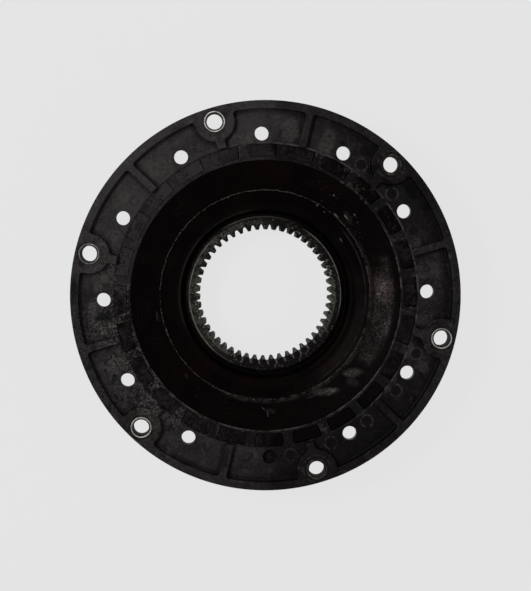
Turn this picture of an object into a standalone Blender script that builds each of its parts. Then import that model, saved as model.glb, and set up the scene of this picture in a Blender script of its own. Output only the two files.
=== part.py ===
"""Elastic flange coupling for an engine flywheel.

A moulded flange with a pocketed front face and six pressed-in steel bushes
carries a bonded rubber element, which carries a ring with internal teeth.
The axis is +Z, the pocketed face looks up, and the part stands on the end
of the toothed ring. Metres, origin on the axis at the lowest plane.
"""

import math

import bmesh
import bpy
from mathutils import Matrix, Vector

MM = 0.001

# Whole part
OUTER_DIAMETER = 263.5 * MM
TOTAL_HEIGHT = 60.0 * MM
SEAT_GAP = 0.3 * MM
PATTERN_ANGLE = math.radians(1.4)

# Flange, measured inwards from the rim and down from the front face
BOLT_COUNT = 6
FLANGE_THICKNESS = 14.0 * MM
RIM_LAND_WIDTH = 5.5 * MM
RIM_CHAMFER = 0.7 * MM
POCKET_LENGTH = 22.8 * MM
POCKET_DEPTH = 6.0 * MM
POCKET_CORNER_RADIUS = 2.0 * MM
RIB_WIDTH = 4.8 * MM

# Bosses that hold the bushes, each with a neck that runs inwards
BUSH_RIM_WALL = 2.4 * MM
BOSS_WALL = 6.3 * MM
NECK_WIDTH = 5.6 * MM
NECK_FILLET = 2.5 * MM

# Band of windows inside the pockets, closed by a thin hoop
BAND_STEP = 0.5 * MM
BAND_SLOPE = 1.5 * MM
WINDOW_LEDGE = 0.7 * MM
WINDOW_LENGTH = 8.8 * MM
WINDOW_CORNER_RADIUS = 1.3 * MM
BAR_WIDTH = 6.3 * MM
HOOP_WIDTH = 2.2 * MM

# Plain holes, one in each pocket
PLAIN_HOLE_DIAMETER = 9.5 * MM
PLAIN_HOLE_INSET = 6.2 * MM
BLIND_HOLE_INDEX = 9
BLIND_HOLE_FLOOR = 2.0 * MM

# Steel bushes
BUSH_BORE_DIAMETER = 10.6 * MM
BUSH_WALL = 1.8 * MM
BUSH_CHAMFER = 0.8 * MM

# Toothed ring
TOOTH_GAP_ANGLE = math.radians(-0.8)
TOOTH_MODULE = 1.85 * MM
PRESSURE_ANGLE = math.radians(20.0)
TOOTH_ADDENDUM = 1.6 * MM
TOOTH_DEDENDUM = 1.8 * MM
FLANK_OVERRUN = 0.3 * MM
RING_LENGTH = 38.0 * MM
RING_FRONT_WALL = 3.85 * MM
RING_DRAFT = 2.1 * MM
RING_LEAD_IN = 0.8 * MM

# Rubber element, between the toothed ring and the flange
RUBBER_WIDTH = 37.15 * MM
GROOVE_WIDTH = 6.8 * MM
GROOVE_DEPTH = 6.5 * MM
GROOVE_FLOOR_WIDTH = 2.3 * MM
LIP_RISE = 2.0 * MM
LIP_WIDTH = 1.8 * MM
LIP_BEVEL = 0.6 * MM
HOOP_DROP = 0.9 * MM
FLASH_STEP = 1.6 * MM
COLLAR_THICKNESS = 8.0 * MM
COLLAR_OVERLAP = 1.0 * MM
STUD_RECESS = 0.9 * MM
RING_FOOT = 5.0 * MM

# Points of the dish, as shares of its width and height from the lip
DISH_SHOULDER = (0.80, 0.84)
DISH_FLASH = (0.40, 0.46)
DISH_BOTTOM = (0.12, -0.02)

# Points of the back, as shares of its width and height from the ring
BACK_FOOT = (0.16, 0.0)
BACK_MIDDLE = (0.55, 0.50)

# Facets
FLANGE_STEPS = 16 * BOLT_COUNT
RUBBER_STEPS = 12 * BOLT_COUNT
BUSH_STEPS = 18
HOLE_STEPS = 18
ARC_STEP = math.radians(30.0)
SMOOTH_ANGLE = math.radians(32.0)
CUT_OVERRUN = 1.5 * MM

# Angles of the pattern
HOLE_COUNT = 2 * BOLT_COUNT
WINDOW_COUNT = 4 * BOLT_COUNT
HOLE_PITCH = math.tau / HOLE_COUNT
WINDOW_PITCH = math.tau / WINDOW_COUNT

# Heights
FRONT_Z = TOTAL_HEIGHT
BACK_Z = FRONT_Z - FLANGE_THICKNESS
POCKET_FLOOR_Z = FRONT_Z - POCKET_DEPTH
BAND_OUTER_Z = POCKET_FLOOR_Z - BAND_STEP
BAND_INNER_Z = BAND_OUTER_Z - BAND_SLOPE
RING_FRONT_Z = RING_LENGTH
LIP_Z = RING_FRONT_Z + LIP_RISE
GROOVE_FLOOR_Z = RING_FRONT_Z - GROOVE_DEPTH
COLLAR_TOP_Z = BACK_Z - SEAT_GAP
COLLAR_BACK_Z = COLLAR_TOP_Z - COLLAR_THICKNESS

# Radii of the bushes and the flange, from the rim inwards
BUSH_OUTER_RADIUS = BUSH_BORE_DIAMETER / 2 + BUSH_WALL
BOSS_RADIUS = BUSH_OUTER_RADIUS + BOSS_WALL
OUTER_RADIUS = OUTER_DIAMETER / 2
BOLT_RADIUS = OUTER_RADIUS - BUSH_RIM_WALL - BUSH_OUTER_RADIUS
POCKET_OUTER_RADIUS = OUTER_RADIUS - RIM_LAND_WIDTH
POCKET_INNER_RADIUS = POCKET_OUTER_RADIUS - POCKET_LENGTH
PLAIN_HOLE_RADIUS = POCKET_INNER_RADIUS + PLAIN_HOLE_INSET
WINDOW_OUTER_RADIUS = POCKET_INNER_RADIUS - WINDOW_LEDGE
WINDOW_INNER_RADIUS = WINDOW_OUTER_RADIUS - WINDOW_LENGTH
HOOP_INNER_RADIUS = WINDOW_INNER_RADIUS - HOOP_WIDTH

# Radii of the toothed ring, with as many whole teeth as fit inside the rubber
RUBBER_OUTER_RADIUS = HOOP_INNER_RADIUS - SEAT_GAP
TOOTH_ROOT_LIMIT = (RUBBER_OUTER_RADIUS - RUBBER_WIDTH - SEAT_GAP - RING_DRAFT
                    - RING_FRONT_WALL)
TOOTH_COUNT = round(2 * (TOOTH_ROOT_LIMIT - TOOTH_DEDENDUM) / TOOTH_MODULE)
PITCH_RADIUS = TOOTH_COUNT * TOOTH_MODULE / 2
TIP_RADIUS = PITCH_RADIUS - TOOTH_ADDENDUM
ROOT_RADIUS = PITCH_RADIUS + TOOTH_DEDENDUM
RING_FRONT_RADIUS = ROOT_RADIUS + RING_FRONT_WALL
RING_BODY_RADIUS = RING_FRONT_RADIUS + RING_DRAFT

# Radii of the rubber element
RUBBER_BORE_RADIUS = RING_BODY_RADIUS + SEAT_GAP
LIP_RADIUS = RING_FRONT_RADIUS + GROOVE_WIDTH
COLLAR_RADIUS = WINDOW_OUTER_RADIUS + COLLAR_OVERLAP


def clear_scene():
    """Remove every object that the open file holds."""
    for obj in list(bpy.data.objects):
        bpy.data.objects.remove(obj, do_unlink=True)


def make_material(name, colour, roughness, metallic=0.0):
    """A Principled material with one colour."""
    material = bpy.data.materials.new(name)
    material.use_nodes = True
    shader = material.node_tree.nodes["Principled BSDF"]
    shader.inputs["Base Color"].default_value = (*colour, 1.0)
    shader.inputs["Roughness"].default_value = roughness
    shader.inputs["Metallic"].default_value = metallic
    return material


def object_from_bmesh(name, bm, material=None):
    """Put a bmesh in the scene as a named object and free it."""
    bmesh.ops.recalc_face_normals(bm, faces=bm.faces)
    mesh = bpy.data.meshes.new(name)
    bm.to_mesh(mesh)
    bm.free()
    if material is not None:
        mesh.materials.append(material)
    obj = bpy.data.objects.new(name, mesh)
    bpy.context.collection.objects.link(obj)
    return obj


def shade(obj):
    """Smooth the round faces and keep the real edges sharp."""
    obj.data.shade_smooth()
    obj.data.set_sharp_from_angle(angle=SMOOTH_ANGLE)


def lathe(bm, profile, steps, start_angle):
    """Turn a closed profile of (radius, height) points about the Z axis."""
    verts = [bm.verts.new((*polar(radius, start_angle), height)) for radius, height in profile]
    edges = [bm.edges.new((verts[i - 1], verts[i])) for i in range(len(verts))]
    bmesh.ops.spin(bm, geom=verts + edges, axis=(0.0, 0.0, 1.0), angle=math.tau,
                   steps=steps, use_merge=True)


def prism(bm, outline, bottom, top):
    """Extrude a flat outline between two heights and return its top points."""
    face = bm.faces.new([bm.verts.new((x, y, bottom)) for x, y in outline])
    raised = bmesh.ops.extrude_face_region(bm, geom=[face])["geom"]
    top_verts = [item for item in raised if isinstance(item, bmesh.types.BMVert)]
    bmesh.ops.translate(bm, verts=top_verts, vec=(0.0, 0.0, top - bottom))
    return top_verts


def boolean(target, tool, operation):
    """Combine a tool object into the target, then remove the tool."""
    modifier = target.modifiers.new(operation.title(), "BOOLEAN")
    modifier.operation = operation
    modifier.solver = "EXACT"
    modifier.object = tool
    tool.hide_render = True
    tool.display_type = "WIRE"
    evaluated = target.evaluated_get(bpy.context.evaluated_depsgraph_get())
    result = bpy.data.meshes.new_from_object(evaluated)
    target.modifiers.clear()
    target.data = result
    bpy.data.objects.remove(tool, do_unlink=True)


def polar(radius, angle):
    """Flat point at a radius and angle."""
    return Vector((radius * math.cos(angle), radius * math.sin(angle)))


def arc(centre, radius, start, end):
    """Points along an arc, both ends included."""
    steps = max(1, math.ceil(abs(end - start) / ARC_STEP))
    return [centre + polar(radius, start + (end - start) * i / steps) for i in range(steps + 1)]


def round_arc(radius, start, end):
    """Points along an arc about the axis, with the lathe's facet size."""
    steps = max(1, round(abs(end - start) / (math.tau / FLANGE_STEPS)))
    return [polar(radius, start + (end - start) * i / steps) for i in range(1, steps)]


def turned(points, angle):
    """Flat points turned about the axis."""
    rotation = Matrix.Rotation(angle, 2)
    return [rotation @ point for point in points]


def mirrored(points):
    """Flat points mirrored in the X axis, in reversed order."""
    return [Vector((point.x, -point.y)) for point in reversed(points)]


def outer_corner(circle_radius, side_offset, fillet):
    """Fillet inside a circle, between it and a line parallel to the X axis.

    The line lies at y = side_offset. The points run from the line to the
    circle, and the space being rounded lies at greater y.
    """
    centre_y = side_offset + fillet
    centre_x = math.sqrt((circle_radius - fillet) ** 2 - centre_y ** 2)
    touch = math.atan2(centre_y, centre_x)
    return arc(Vector((centre_x, centre_y)), fillet, -math.pi / 2, touch)


def inner_corner(circle_radius, side_offset, fillet):
    """Fillet outside a circle, between it and a line parallel to the X axis."""
    centre_y = side_offset + fillet
    centre_x = math.sqrt((circle_radius + fillet) ** 2 - centre_y ** 2)
    touch = math.atan2(centre_y, centre_x) + math.pi
    return arc(Vector((centre_x, centre_y)), fillet, touch, 3 * math.pi / 2)


def angle_of(point):
    """Angle of a flat point about the axis."""
    return math.atan2(point.y, point.x)


def window_outline(inset):
    """Window between two bars, centred on the X axis.

    An inset makes the smaller outline of the rubber stud that fills it.
    """
    side = BAR_WIDTH / 2 + inset
    fillet = WINDOW_CORNER_RADIUS - inset
    low_corners = (inner_corner(WINDOW_INNER_RADIUS + inset, side, fillet)
                   + outer_corner(WINDOW_OUTER_RADIUS - inset, side, fillet))
    low_side = turned(low_corners, -WINDOW_PITCH / 2)
    high_side = mirrored(low_side)
    reach = angle_of(low_side[-1])
    outer = round_arc(WINDOW_OUTER_RADIUS - inset, reach, -reach)
    reach = angle_of(low_side[0])
    inner = round_arc(WINDOW_INNER_RADIUS + inset, -reach, reach)
    return low_side + outer + high_side + inner


def pocket_outline():
    """Pocket about the X axis, with a rib at its low side and a boss at its high side.

    It runs on over the band, which lies lower, to the hoop.
    """
    half_pitch = HOLE_PITCH / 2

    rib_side = RIB_WIDTH / 2
    rib_start = Vector((math.sqrt(HOOP_INNER_RADIUS ** 2 - rib_side ** 2), rib_side))
    rib = [rib_start] + outer_corner(POCKET_OUTER_RADIUS, rib_side, POCKET_CORNER_RADIUS)

    neck_side = NECK_WIDTH / 2
    fillet_y = neck_side + NECK_FILLET
    fillet_drop = math.sqrt((BOSS_RADIUS + NECK_FILLET) ** 2 - fillet_y ** 2)
    fillet_centre = Vector((BOLT_RADIUS - fillet_drop, fillet_y))
    boss_centre = Vector((BOLT_RADIUS, 0.0))
    touch = math.atan2(fillet_y, -fillet_drop)
    neck_start = Vector((math.sqrt(HOOP_INNER_RADIUS ** 2 - neck_side ** 2), neck_side))
    neck = [neck_start] + arc(fillet_centre, NECK_FILLET, -math.pi / 2, touch - math.pi)
    neck += arc(boss_centre, BOSS_RADIUS, touch, math.pi / 2)[1:]
    neck += outer_corner(POCKET_OUTER_RADIUS, BOSS_RADIUS, POCKET_CORNER_RADIUS)

    low_side = turned(rib, -half_pitch)
    high_side = turned(mirrored(neck), half_pitch)
    outer = round_arc(POCKET_OUTER_RADIUS, angle_of(low_side[-1]), angle_of(high_side[0]))
    return low_side + outer + high_side


def window_angles():
    """Angles of the windows: under each hole, rib and boss."""
    return [PATTERN_ANGLE + i * WINDOW_PITCH for i in range(WINDOW_COUNT)]


def hole_angles():
    """Angles of the plain holes, one in each pocket."""
    return [PATTERN_ANGLE + i * HOLE_PITCH for i in range(HOLE_COUNT)]


def boss_angles():
    """Angles of the bosses and their bushes."""
    return [PATTERN_ANGLE + (2 * i + 1.5) * HOLE_PITCH for i in range(BOLT_COUNT)]


def band_height(radius):
    """Height of the sloping band of bars at a radius."""
    share = (radius - HOOP_INNER_RADIUS) / (POCKET_INNER_RADIUS - HOOP_INNER_RADIUS)
    return BAND_INNER_Z + (BAND_OUTER_Z - BAND_INNER_Z) * share


def window_cutter():
    """All the windows, through the band."""
    bm = bmesh.new()
    outline = window_outline(0.0)
    for angle in window_angles():
        prism(bm, turned(outline, angle), BACK_Z - CUT_OVERRUN, FRONT_Z)
    return object_from_bmesh("window_cutter", bm)


def pocket_cutter():
    """All the pockets, which alternate in hand about their holes."""
    bm = bmesh.new()
    outline = pocket_outline()
    for index, angle in enumerate(hole_angles()):
        shape = outline if index % 2 else mirrored(outline)
        prism(bm, turned(shape, angle), POCKET_FLOOR_Z, FRONT_Z + CUT_OVERRUN)
    return object_from_bmesh("pocket_cutter", bm)


def add_disc(bm, centre, radius, bottom, angle):
    """A round bar from a given height to above the front face."""
    top = FRONT_Z + CUT_OVERRUN
    bmesh.ops.create_cone(
        bm, cap_ends=True, segments=HOLE_STEPS, radius1=radius, radius2=radius,
        depth=top - bottom,
        matrix=Matrix.Translation((*centre, (top + bottom) / 2)) @ Matrix.Rotation(angle, 4, "Z"))


def hole_cutter():
    """The plain holes, one of them blind, and the seats of the bushes."""
    bm = bmesh.new()
    for index, angle in enumerate(hole_angles()):
        blind = index == BLIND_HOLE_INDEX
        bottom = BACK_Z + BLIND_HOLE_FLOOR if blind else BACK_Z - CUT_OVERRUN
        add_disc(bm, polar(PLAIN_HOLE_RADIUS, angle), PLAIN_HOLE_DIAMETER / 2, bottom, angle)
    for angle in boss_angles():
        seat = BUSH_OUTER_RADIUS + SEAT_GAP
        add_disc(bm, polar(BOLT_RADIUS, angle), seat, BACK_Z - CUT_OVERRUN, angle)
    return object_from_bmesh("hole_cutter", bm)


def build_flange(material):
    """Moulded flange: rim, ribs and bosses, pockets, holes and window band."""
    bm = bmesh.new()
    lathe(bm, [
        (HOOP_INNER_RADIUS, BACK_Z),
        (OUTER_RADIUS - RIM_CHAMFER, BACK_Z),
        (OUTER_RADIUS, BACK_Z + RIM_CHAMFER),
        (OUTER_RADIUS, FRONT_Z - RIM_CHAMFER),
        (OUTER_RADIUS - RIM_CHAMFER, FRONT_Z),
        (POCKET_INNER_RADIUS, FRONT_Z),
        (POCKET_INNER_RADIUS, BAND_OUTER_Z),
        (HOOP_INNER_RADIUS, BAND_INNER_Z),
    ], FLANGE_STEPS, PATTERN_ANGLE)
    flange = object_from_bmesh("flange", bm, material)
    boolean(flange, pocket_cutter(), "DIFFERENCE")
    boolean(flange, window_cutter(), "DIFFERENCE")
    boolean(flange, hole_cutter(), "DIFFERENCE")
    shade(flange)
    return flange


def build_bushes(material):
    """Steel sleeves, flush with both faces of the flange."""
    bore = BUSH_BORE_DIAMETER / 2
    profile = [
        (bore, BACK_Z + BUSH_CHAMFER),
        (bore + BUSH_CHAMFER, BACK_Z),
        (BUSH_OUTER_RADIUS, BACK_Z),
        (BUSH_OUTER_RADIUS, FRONT_Z),
        (bore + BUSH_CHAMFER, FRONT_Z),
        (bore, FRONT_Z - BUSH_CHAMFER),
    ]
    for number, angle in enumerate(boss_angles(), start=1):
        bm = bmesh.new()
        lathe(bm, profile, BUSH_STEPS, angle)
        bush = object_from_bmesh(f"bush_{number}", bm, material)
        bush.location = (*polar(BOLT_RADIUS, angle), 0.0)
        shade(bush)


def rubber_profile():
    """Section of the rubber: collar, dish, flash line, lip, groove and back."""
    dish_width = RUBBER_OUTER_RADIUS - LIP_RADIUS
    dish_top = BAND_INNER_Z - HOOP_DROP
    dish_height = dish_top - LIP_Z
    back_width = RUBBER_OUTER_RADIUS - RUBBER_BORE_RADIUS
    back_height = COLLAR_BACK_Z - RING_FOOT

    def dish(shares):
        return (LIP_RADIUS + dish_width * shares[0], LIP_Z + dish_height * shares[1])

    def back(shares):
        return (RUBBER_BORE_RADIUS + back_width * shares[0], RING_FOOT + back_height * shares[1])

    flash = dish(DISH_FLASH)
    return [
        (COLLAR_RADIUS, COLLAR_TOP_Z),
        (RUBBER_OUTER_RADIUS, COLLAR_TOP_Z),
        (RUBBER_OUTER_RADIUS, dish_top),
        dish(DISH_SHOULDER),
        flash,
        (flash[0] - FLASH_STEP, flash[1] - FLASH_STEP),
        dish(DISH_BOTTOM),
        (LIP_RADIUS + LIP_WIDTH / 2, LIP_Z),
        (LIP_RADIUS - LIP_WIDTH / 2, LIP_Z - LIP_BEVEL),
        (RUBBER_BORE_RADIUS + GROOVE_FLOOR_WIDTH, GROOVE_FLOOR_Z),
        (RUBBER_BORE_RADIUS, GROOVE_FLOOR_Z),
        (RUBBER_BORE_RADIUS, RING_FOOT),
        back(BACK_FOOT),
        back(BACK_MIDDLE),
        (RUBBER_OUTER_RADIUS, COLLAR_BACK_Z),
        (COLLAR_RADIUS, COLLAR_BACK_Z),
    ]


def stud_tool():
    """Rubber studs that rise from the collar into the windows."""
    bm = bmesh.new()
    outline = window_outline(SEAT_GAP)
    for angle in window_angles():
        axis = polar(1.0, angle)
        top_verts = prism(bm, turned(outline, angle), COLLAR_TOP_Z - CUT_OVERRUN, BAND_INNER_Z)
        for vert in top_verts:
            vert.co.z = band_height(vert.co.xy.dot(axis)) - STUD_RECESS
    return object_from_bmesh("stud_tool", bm)


def build_rubber(material):
    """Rubber element, moulded through the windows of the flange."""
    bm = bmesh.new()
    lathe(bm, rubber_profile(), RUBBER_STEPS, PATTERN_ANGLE)
    rubber = object_from_bmesh("rubber_element", bm, material)
    boolean(rubber, stud_tool(), "UNION")
    shade(rubber)
    return rubber


def involute(angle):
    """The involute function of an angle."""
    return math.tan(angle) - angle


def gap_half_angle(radius):
    """Half the width of the gap between two teeth, as an angle."""
    base_radius = PITCH_RADIUS * math.cos(PRESSURE_ANGLE)
    at_radius = math.acos(min(1.0, base_radius / radius))
    return math.pi / (2 * TOOTH_COUNT) + involute(PRESSURE_ANGLE) - involute(at_radius)


def tooth_gap_outline():
    """Outline of all the gaps between the teeth, joined inside the bore."""
    inside_radius = TIP_RADIUS - CUT_OVERRUN
    flank_radii = [TIP_RADIUS - FLANK_OVERRUN, PITCH_RADIUS, ROOT_RADIUS]
    pitch = math.tau / TOOTH_COUNT
    points = []
    for index in range(TOOTH_COUNT):
        middle = TOOTH_GAP_ANGLE + index * pitch
        points.append(polar(inside_radius, middle - pitch / 2))
        points += [polar(radius, middle - gap_half_angle(radius)) for radius in flank_radii]
        points += [polar(radius, middle + gap_half_angle(radius)) for radius in reversed(flank_radii)]
    return points


def build_toothed_ring(material):
    """Ring with internal involute teeth and a drafted outer nose."""
    bm = bmesh.new()
    lathe(bm, [
        (TIP_RADIUS, RING_LEAD_IN),
        (TIP_RADIUS + RING_LEAD_IN, 0.0),
        (RING_BODY_RADIUS - RING_LEAD_IN, 0.0),
        (RING_BODY_RADIUS, RING_LEAD_IN),
        (RING_BODY_RADIUS, GROOVE_FLOOR_Z),
        (RING_FRONT_RADIUS, RING_FRONT_Z),
        (TIP_RADIUS + RING_LEAD_IN, RING_FRONT_Z),
        (TIP_RADIUS, RING_FRONT_Z - RING_LEAD_IN),
    ], TOOTH_COUNT, TOOTH_GAP_ANGLE)
    ring = object_from_bmesh("toothed_ring", bm, material)
    bm = bmesh.new()
    prism(bm, tooth_gap_outline(), -CUT_OVERRUN, RING_FRONT_Z + CUT_OVERRUN)
    boolean(ring, object_from_bmesh("gap_cutter", bm), "DIFFERENCE")
    shade(ring)
    return ring


def main():
    """Build every piece of the coupling."""
    clear_scene()
    build_flange(make_material("glass_filled_polyamide", (0.022, 0.020, 0.020), 0.55))
    build_bushes(make_material("zinc_plated_steel", (0.62, 0.60, 0.56), 0.32, 1.0))
    build_rubber(make_material("natural_rubber", (0.008, 0.006, 0.006), 0.6))
    build_toothed_ring(make_material("polyamide_ring", (0.036, 0.034, 0.028), 0.45))


main()
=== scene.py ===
"""Looks of an elastic flywheel coupling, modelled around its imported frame.

A moulded flange with pockets, windows and six steel bushes carries a dished
rubber element, which carries a ring with internal teeth. The axis is +Z and
the pocketed face looks up. Each operator of the sidebar panel makes one
piece, and main() calls them in order.
"""

import math
from functools import cache
from types import SimpleNamespace

import bmesh
import bpy
from bpy.props import FloatProperty, FloatVectorProperty, IntProperty, PointerProperty
from mathutils import Matrix, Vector, noise


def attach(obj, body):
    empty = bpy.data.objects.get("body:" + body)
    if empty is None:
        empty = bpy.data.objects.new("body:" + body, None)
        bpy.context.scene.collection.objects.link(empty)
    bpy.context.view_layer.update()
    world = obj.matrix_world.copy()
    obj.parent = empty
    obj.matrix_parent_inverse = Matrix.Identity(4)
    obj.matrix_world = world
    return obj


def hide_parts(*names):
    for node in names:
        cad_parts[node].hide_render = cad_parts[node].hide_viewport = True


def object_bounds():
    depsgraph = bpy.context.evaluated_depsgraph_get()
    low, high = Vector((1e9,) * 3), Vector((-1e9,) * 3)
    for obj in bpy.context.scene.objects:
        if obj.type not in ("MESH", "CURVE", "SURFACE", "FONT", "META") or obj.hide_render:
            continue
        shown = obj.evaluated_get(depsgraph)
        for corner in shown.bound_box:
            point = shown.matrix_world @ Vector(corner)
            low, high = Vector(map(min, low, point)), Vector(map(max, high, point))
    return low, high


bl_info = {
    "name": "Elastic Coupling",
    "version": (1, 0, 0),
    "blender": (4, 5, 0),
    "location": "3D View > Sidebar > Coupling",
    "description": "Makes the pieces, finishes and stage of an elastic flywheel coupling",
    "category": "Object",
}

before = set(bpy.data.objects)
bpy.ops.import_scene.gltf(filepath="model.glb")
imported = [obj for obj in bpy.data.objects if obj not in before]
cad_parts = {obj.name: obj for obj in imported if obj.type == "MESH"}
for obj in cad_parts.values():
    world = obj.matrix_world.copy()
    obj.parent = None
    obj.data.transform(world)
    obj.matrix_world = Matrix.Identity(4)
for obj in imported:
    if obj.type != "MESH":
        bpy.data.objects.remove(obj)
CAD_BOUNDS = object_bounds()

MM = 0.001
CAD_WIDTH_MM = (CAD_BOUNDS[1][0] - CAD_BOUNDS[0][0]) / MM
CAD_HEIGHT_MM = CAD_BOUNDS[1][2] / MM
IMAGE_WIDTH = 531
SHARP_ANGLE = math.radians(38.0)
CORNER_STEP = math.radians(12.0)
ARC_LENGTH = 2.2 * MM
OVERRUN = 2.0 * MM

# Steps of each spin about the axis, and of a tooth's flank
FLANGE_STEPS = 288
BUSH_STEPS = 64
RUBBER_STEPS = 360
FLASH_STEPS = 1080
RING_STEPS = 300
TOOTH_STEPS = 5

# Smallest step, the gap round a bush, and the radii of small rounds
TINY = 0.01 * MM
SEAT_GAP = 0.06 * MM
SEAT_LIP = 0.15 * MM
PIN_LIP = 0.12 * MM
BORE_ROUND = 0.1 * MM
ROOT_ROUND = 0.35 * MM
# Inset and drop in mm of each step of a stud's domed top
STUD_DOME = [(0.15, 0.35), (0.35, 0.15), (0.4, 0.05)]

# Corners of the dish, as shares of its width and height from the lip
DISH_CORNER = (0.80, 0.84)
FLASH_PLACE = (0.40, 0.46)
DISH_FOOT = (0.12, -0.02)
# Corners of the rubber's back, as shares of its width and height from the ring
BACK_FOOT = (0.16, 0.0)
BACK_CORNER = (0.55, 0.50)

# Noise waves of the flash's ragged edge, its second ripple, its beads and its sway
RAG_WAVES = 60.0
RIPPLE_WAVES = 186.0
BEAD_WAVES = 102.0
SWAY_WAVES = 24.0
# Side where the studs rise highest, in degrees
DUSTY_BEARING = 135.0

# Radii in mm on the rubber: the patch of dust and painted sheen starts, is full, fades and ends,
# and dusty lines
DISH_DUST_AND_SHEEN = (72.5, 77.0, 85.0, 89.0)
FLASH_DUST = 72.2
RIDGE_DUST = 68.7
INNER_DUST = 67.0

# Lamps: place and side in metres
KEY_LAMP = ((-0.46, 0.16, 1.10), 0.24)
FILL_LAMP = ((0.9, -0.3, 1.0), 0.9)

# Dryness of the oiliest plastic, as a share
LEAST_DRYNESS = 0.12
# Sides of the part in degrees: bearing, reach, softness, ripple, and the strength
DRY_SIDES = [
    (131.0, 47.0, 8.0, 6.0, 1.0),
    (226.0, 46.0, 5.0, 6.0, 0.5),
    (352.0, 34.0, 24.0, 8.0, 0.38),
    (72.0, 24.0, 12.0, 10.0, 0.36),
]
CLEAR_PINS = [
    (46.0, 12.0, 2.0, 0.0, 1.0),
    (315.0, 33.0, 2.0, 0.0, 1.0),
    (181.0, 12.0, 2.0, 0.0, 1.0),
]
FLECK_SIDES = [
    (38.0, 28.0, 12.0, 12.0, 1.0),
    (215.0, 50.0, 20.0, 12.0, 0.12),
]
CLEAN_RING = [
    (146.0, 58.0, 18.0, 8.0, 1.0),
    (205.0, 35.0, 12.0, 8.0, 0.5),
    (25.0, 30.0, 12.0, 8.0, 0.2),
]
# Sides where the ring's front edge gets wear and a painted highlight
WORN_AND_HIGHLIT_RING = [
    (20.0, 32.0, 12.0, 8.0, 1.0),
    (185.0, 50.0, 12.0, 8.0, 1.0),
]
DIM_TEETH = [
    (129.0, 37.0, 7.0, 6.0, 0.76),
    (282.0, 38.0, 8.0, 6.0, 0.95),
]
# Sides where the teeth get painted highlights
BRIGHT_TEETH = [
    (202.0, 36.0, 6.0, 6.0, 2.0),
    (350.0, 24.0, 8.0, 6.0, 2.0),
]

# Marks of use, in degrees and mm: bearing, radius, turn from the radial line, half length,
# half width, and the strength
DISH_SCUFFS = [
    (318.5, 79.8, 48.0, 8.0, 3.6, 1.0),
    (315.0, 83.5, 40.0, 5.0, 3.6, 0.45),
    (302.0, 77.8, 66.0, 12.5, 3.0, 1.0),
    (296.0, 76.5, 80.0, 5.5, 1.2, 0.45),
    (225.5, 77.0, 70.0, 2.4, 1.0, 0.5),
    (191.0, 75.0, 84.0, 4.5, 0.9, 0.5),
    (43.0, 77.0, 80.0, 6.0, 2.6, 0.35),
    (332.0, 83.0, 85.0, 9.0, 3.5, 0.4),
    (272.5, 79.0, 70.0, 4.0, 2.0, 0.3),
]
DISH_NICKS = [
    (44.2, 76.4, 88.0, 1.7, 0.5, 0.9),
    (55.7, 82.3, 60.0, 0.9, 0.5, 0.6),
    (42.1, 81.5, 75.0, 1.0, 0.5, 0.6),
    (35.9, 64.0, 80.0, 1.7, 0.45, 0.5),
    (271.0, 80.5, 12.0, 2.6, 0.3, 0.35),
    (269.0, 77.5, 50.0, 1.6, 0.35, 0.35),
    (60.0, 70.5, 70.0, 1.1, 0.5, 0.5),
    (54.5, 69.5, 80.0, 0.8, 0.4, 0.5),
    (48.5, 72.5, 85.0, 2.2, 0.6, 0.6),
]
BROWN_STAINS = [
    (226.4, 122.0, 0.0, 11.0, 11.0, 0.75),
    (169.0, 128.0, 0.0, 3.0, 9.0, 0.5),
    (42.0, 120.5, 20.0, 3.0, 8.0, 0.7),
    (46.5, 129.0, 0.0, 1.5, 5.0, 0.5),
]
OIL_POOLS = [
    (36.0, 121.0, 85.0, 8.0, 4.0, 0.95),
    (50.0, 112.0, 0.0, 7.0, 3.5, 0.9),
    (55.0, 119.0, 90.0, 6.0, 4.0, 0.85),
    (42.5, 111.5, 90.0, 7.0, 3.0, 0.95),
    (29.0, 124.0, 90.0, 5.0, 3.0, 0.75),
    (62.5, 113.5, 30.0, 5.0, 2.5, 0.65),
    (311.0, 122.0, 90.0, 10.0, 5.0, 0.6),
    (294.5, 110.0, 90.0, 7.0, 4.0, 0.6),
    (330.0, 107.0, 80.0, 7.0, 3.5, 0.6),
    (343.0, 108.0, 0.0, 6.0, 3.5, 0.7),
    (187.5, 109.0, 0.0, 8.5, 5.0, 0.9),
    (214.0, 111.0, 70.0, 6.0, 3.0, 0.6),
    (197.0, 121.0, 80.0, 6.0, 2.5, 0.6),
    (219.5, 117.0, 90.0, 5.0, 3.0, 0.6),
    (256.0, 113.0, 5.0, 10.0, 2.5, 0.6),
    (277.0, 121.0, 85.0, 8.0, 3.5, 0.5),
    (178.0, 129.0, 90.0, 8.0, 2.5, 0.8),
    (169.5, 125.5, 90.0, 5.0, 2.5, 0.6),
]
FLANGE_SMUDGES = [
    (81.5, 112.5, 10.0, 9.0, 6.5, 0.40),
    (68.0, 111.5, 0.0, 9.0, 5.5, 0.36),
    (19.0, 107.0, 40.0, 5.0, 3.5, 0.36),
    (9.0, 112.0, 0.0, 9.0, 6.0, 0.22),
    (352.0, 109.5, 60.0, 6.5, 4.5, 0.30),
    (339.0, 103.0, 75.0, 8.0, 4.0, 0.20),
    (335.5, 116.5, 0.0, 5.5, 4.5, 0.26),
    (325.0, 104.5, 90.0, 8.0, 1.6, 0.30),
    (130.0, 113.0, 20.0, 9.0, 7.0, 0.28),
    (145.5, 116.5, 70.0, 6.0, 3.5, 0.22),
    (158.0, 109.0, 10.0, 5.0, 4.0, 0.30),
    (98.0, 106.0, 70.0, 7.0, 4.5, 0.30),
    (186.0, 118.5, 80.0, 9.0, 3.0, 0.60),
    (177.0, 113.0, 80.0, 5.0, 3.0, 0.40),
    (204.5, 109.5, 30.0, 9.0, 6.0, 0.30),
    (238.0, 125.0, 20.0, 3.5, 1.6, 0.45),
    (229.5, 106.5, 10.0, 4.0, 2.0, 0.40),
    (261.0, 107.0, 60.0, 7.0, 3.0, 0.20),
]


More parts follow.
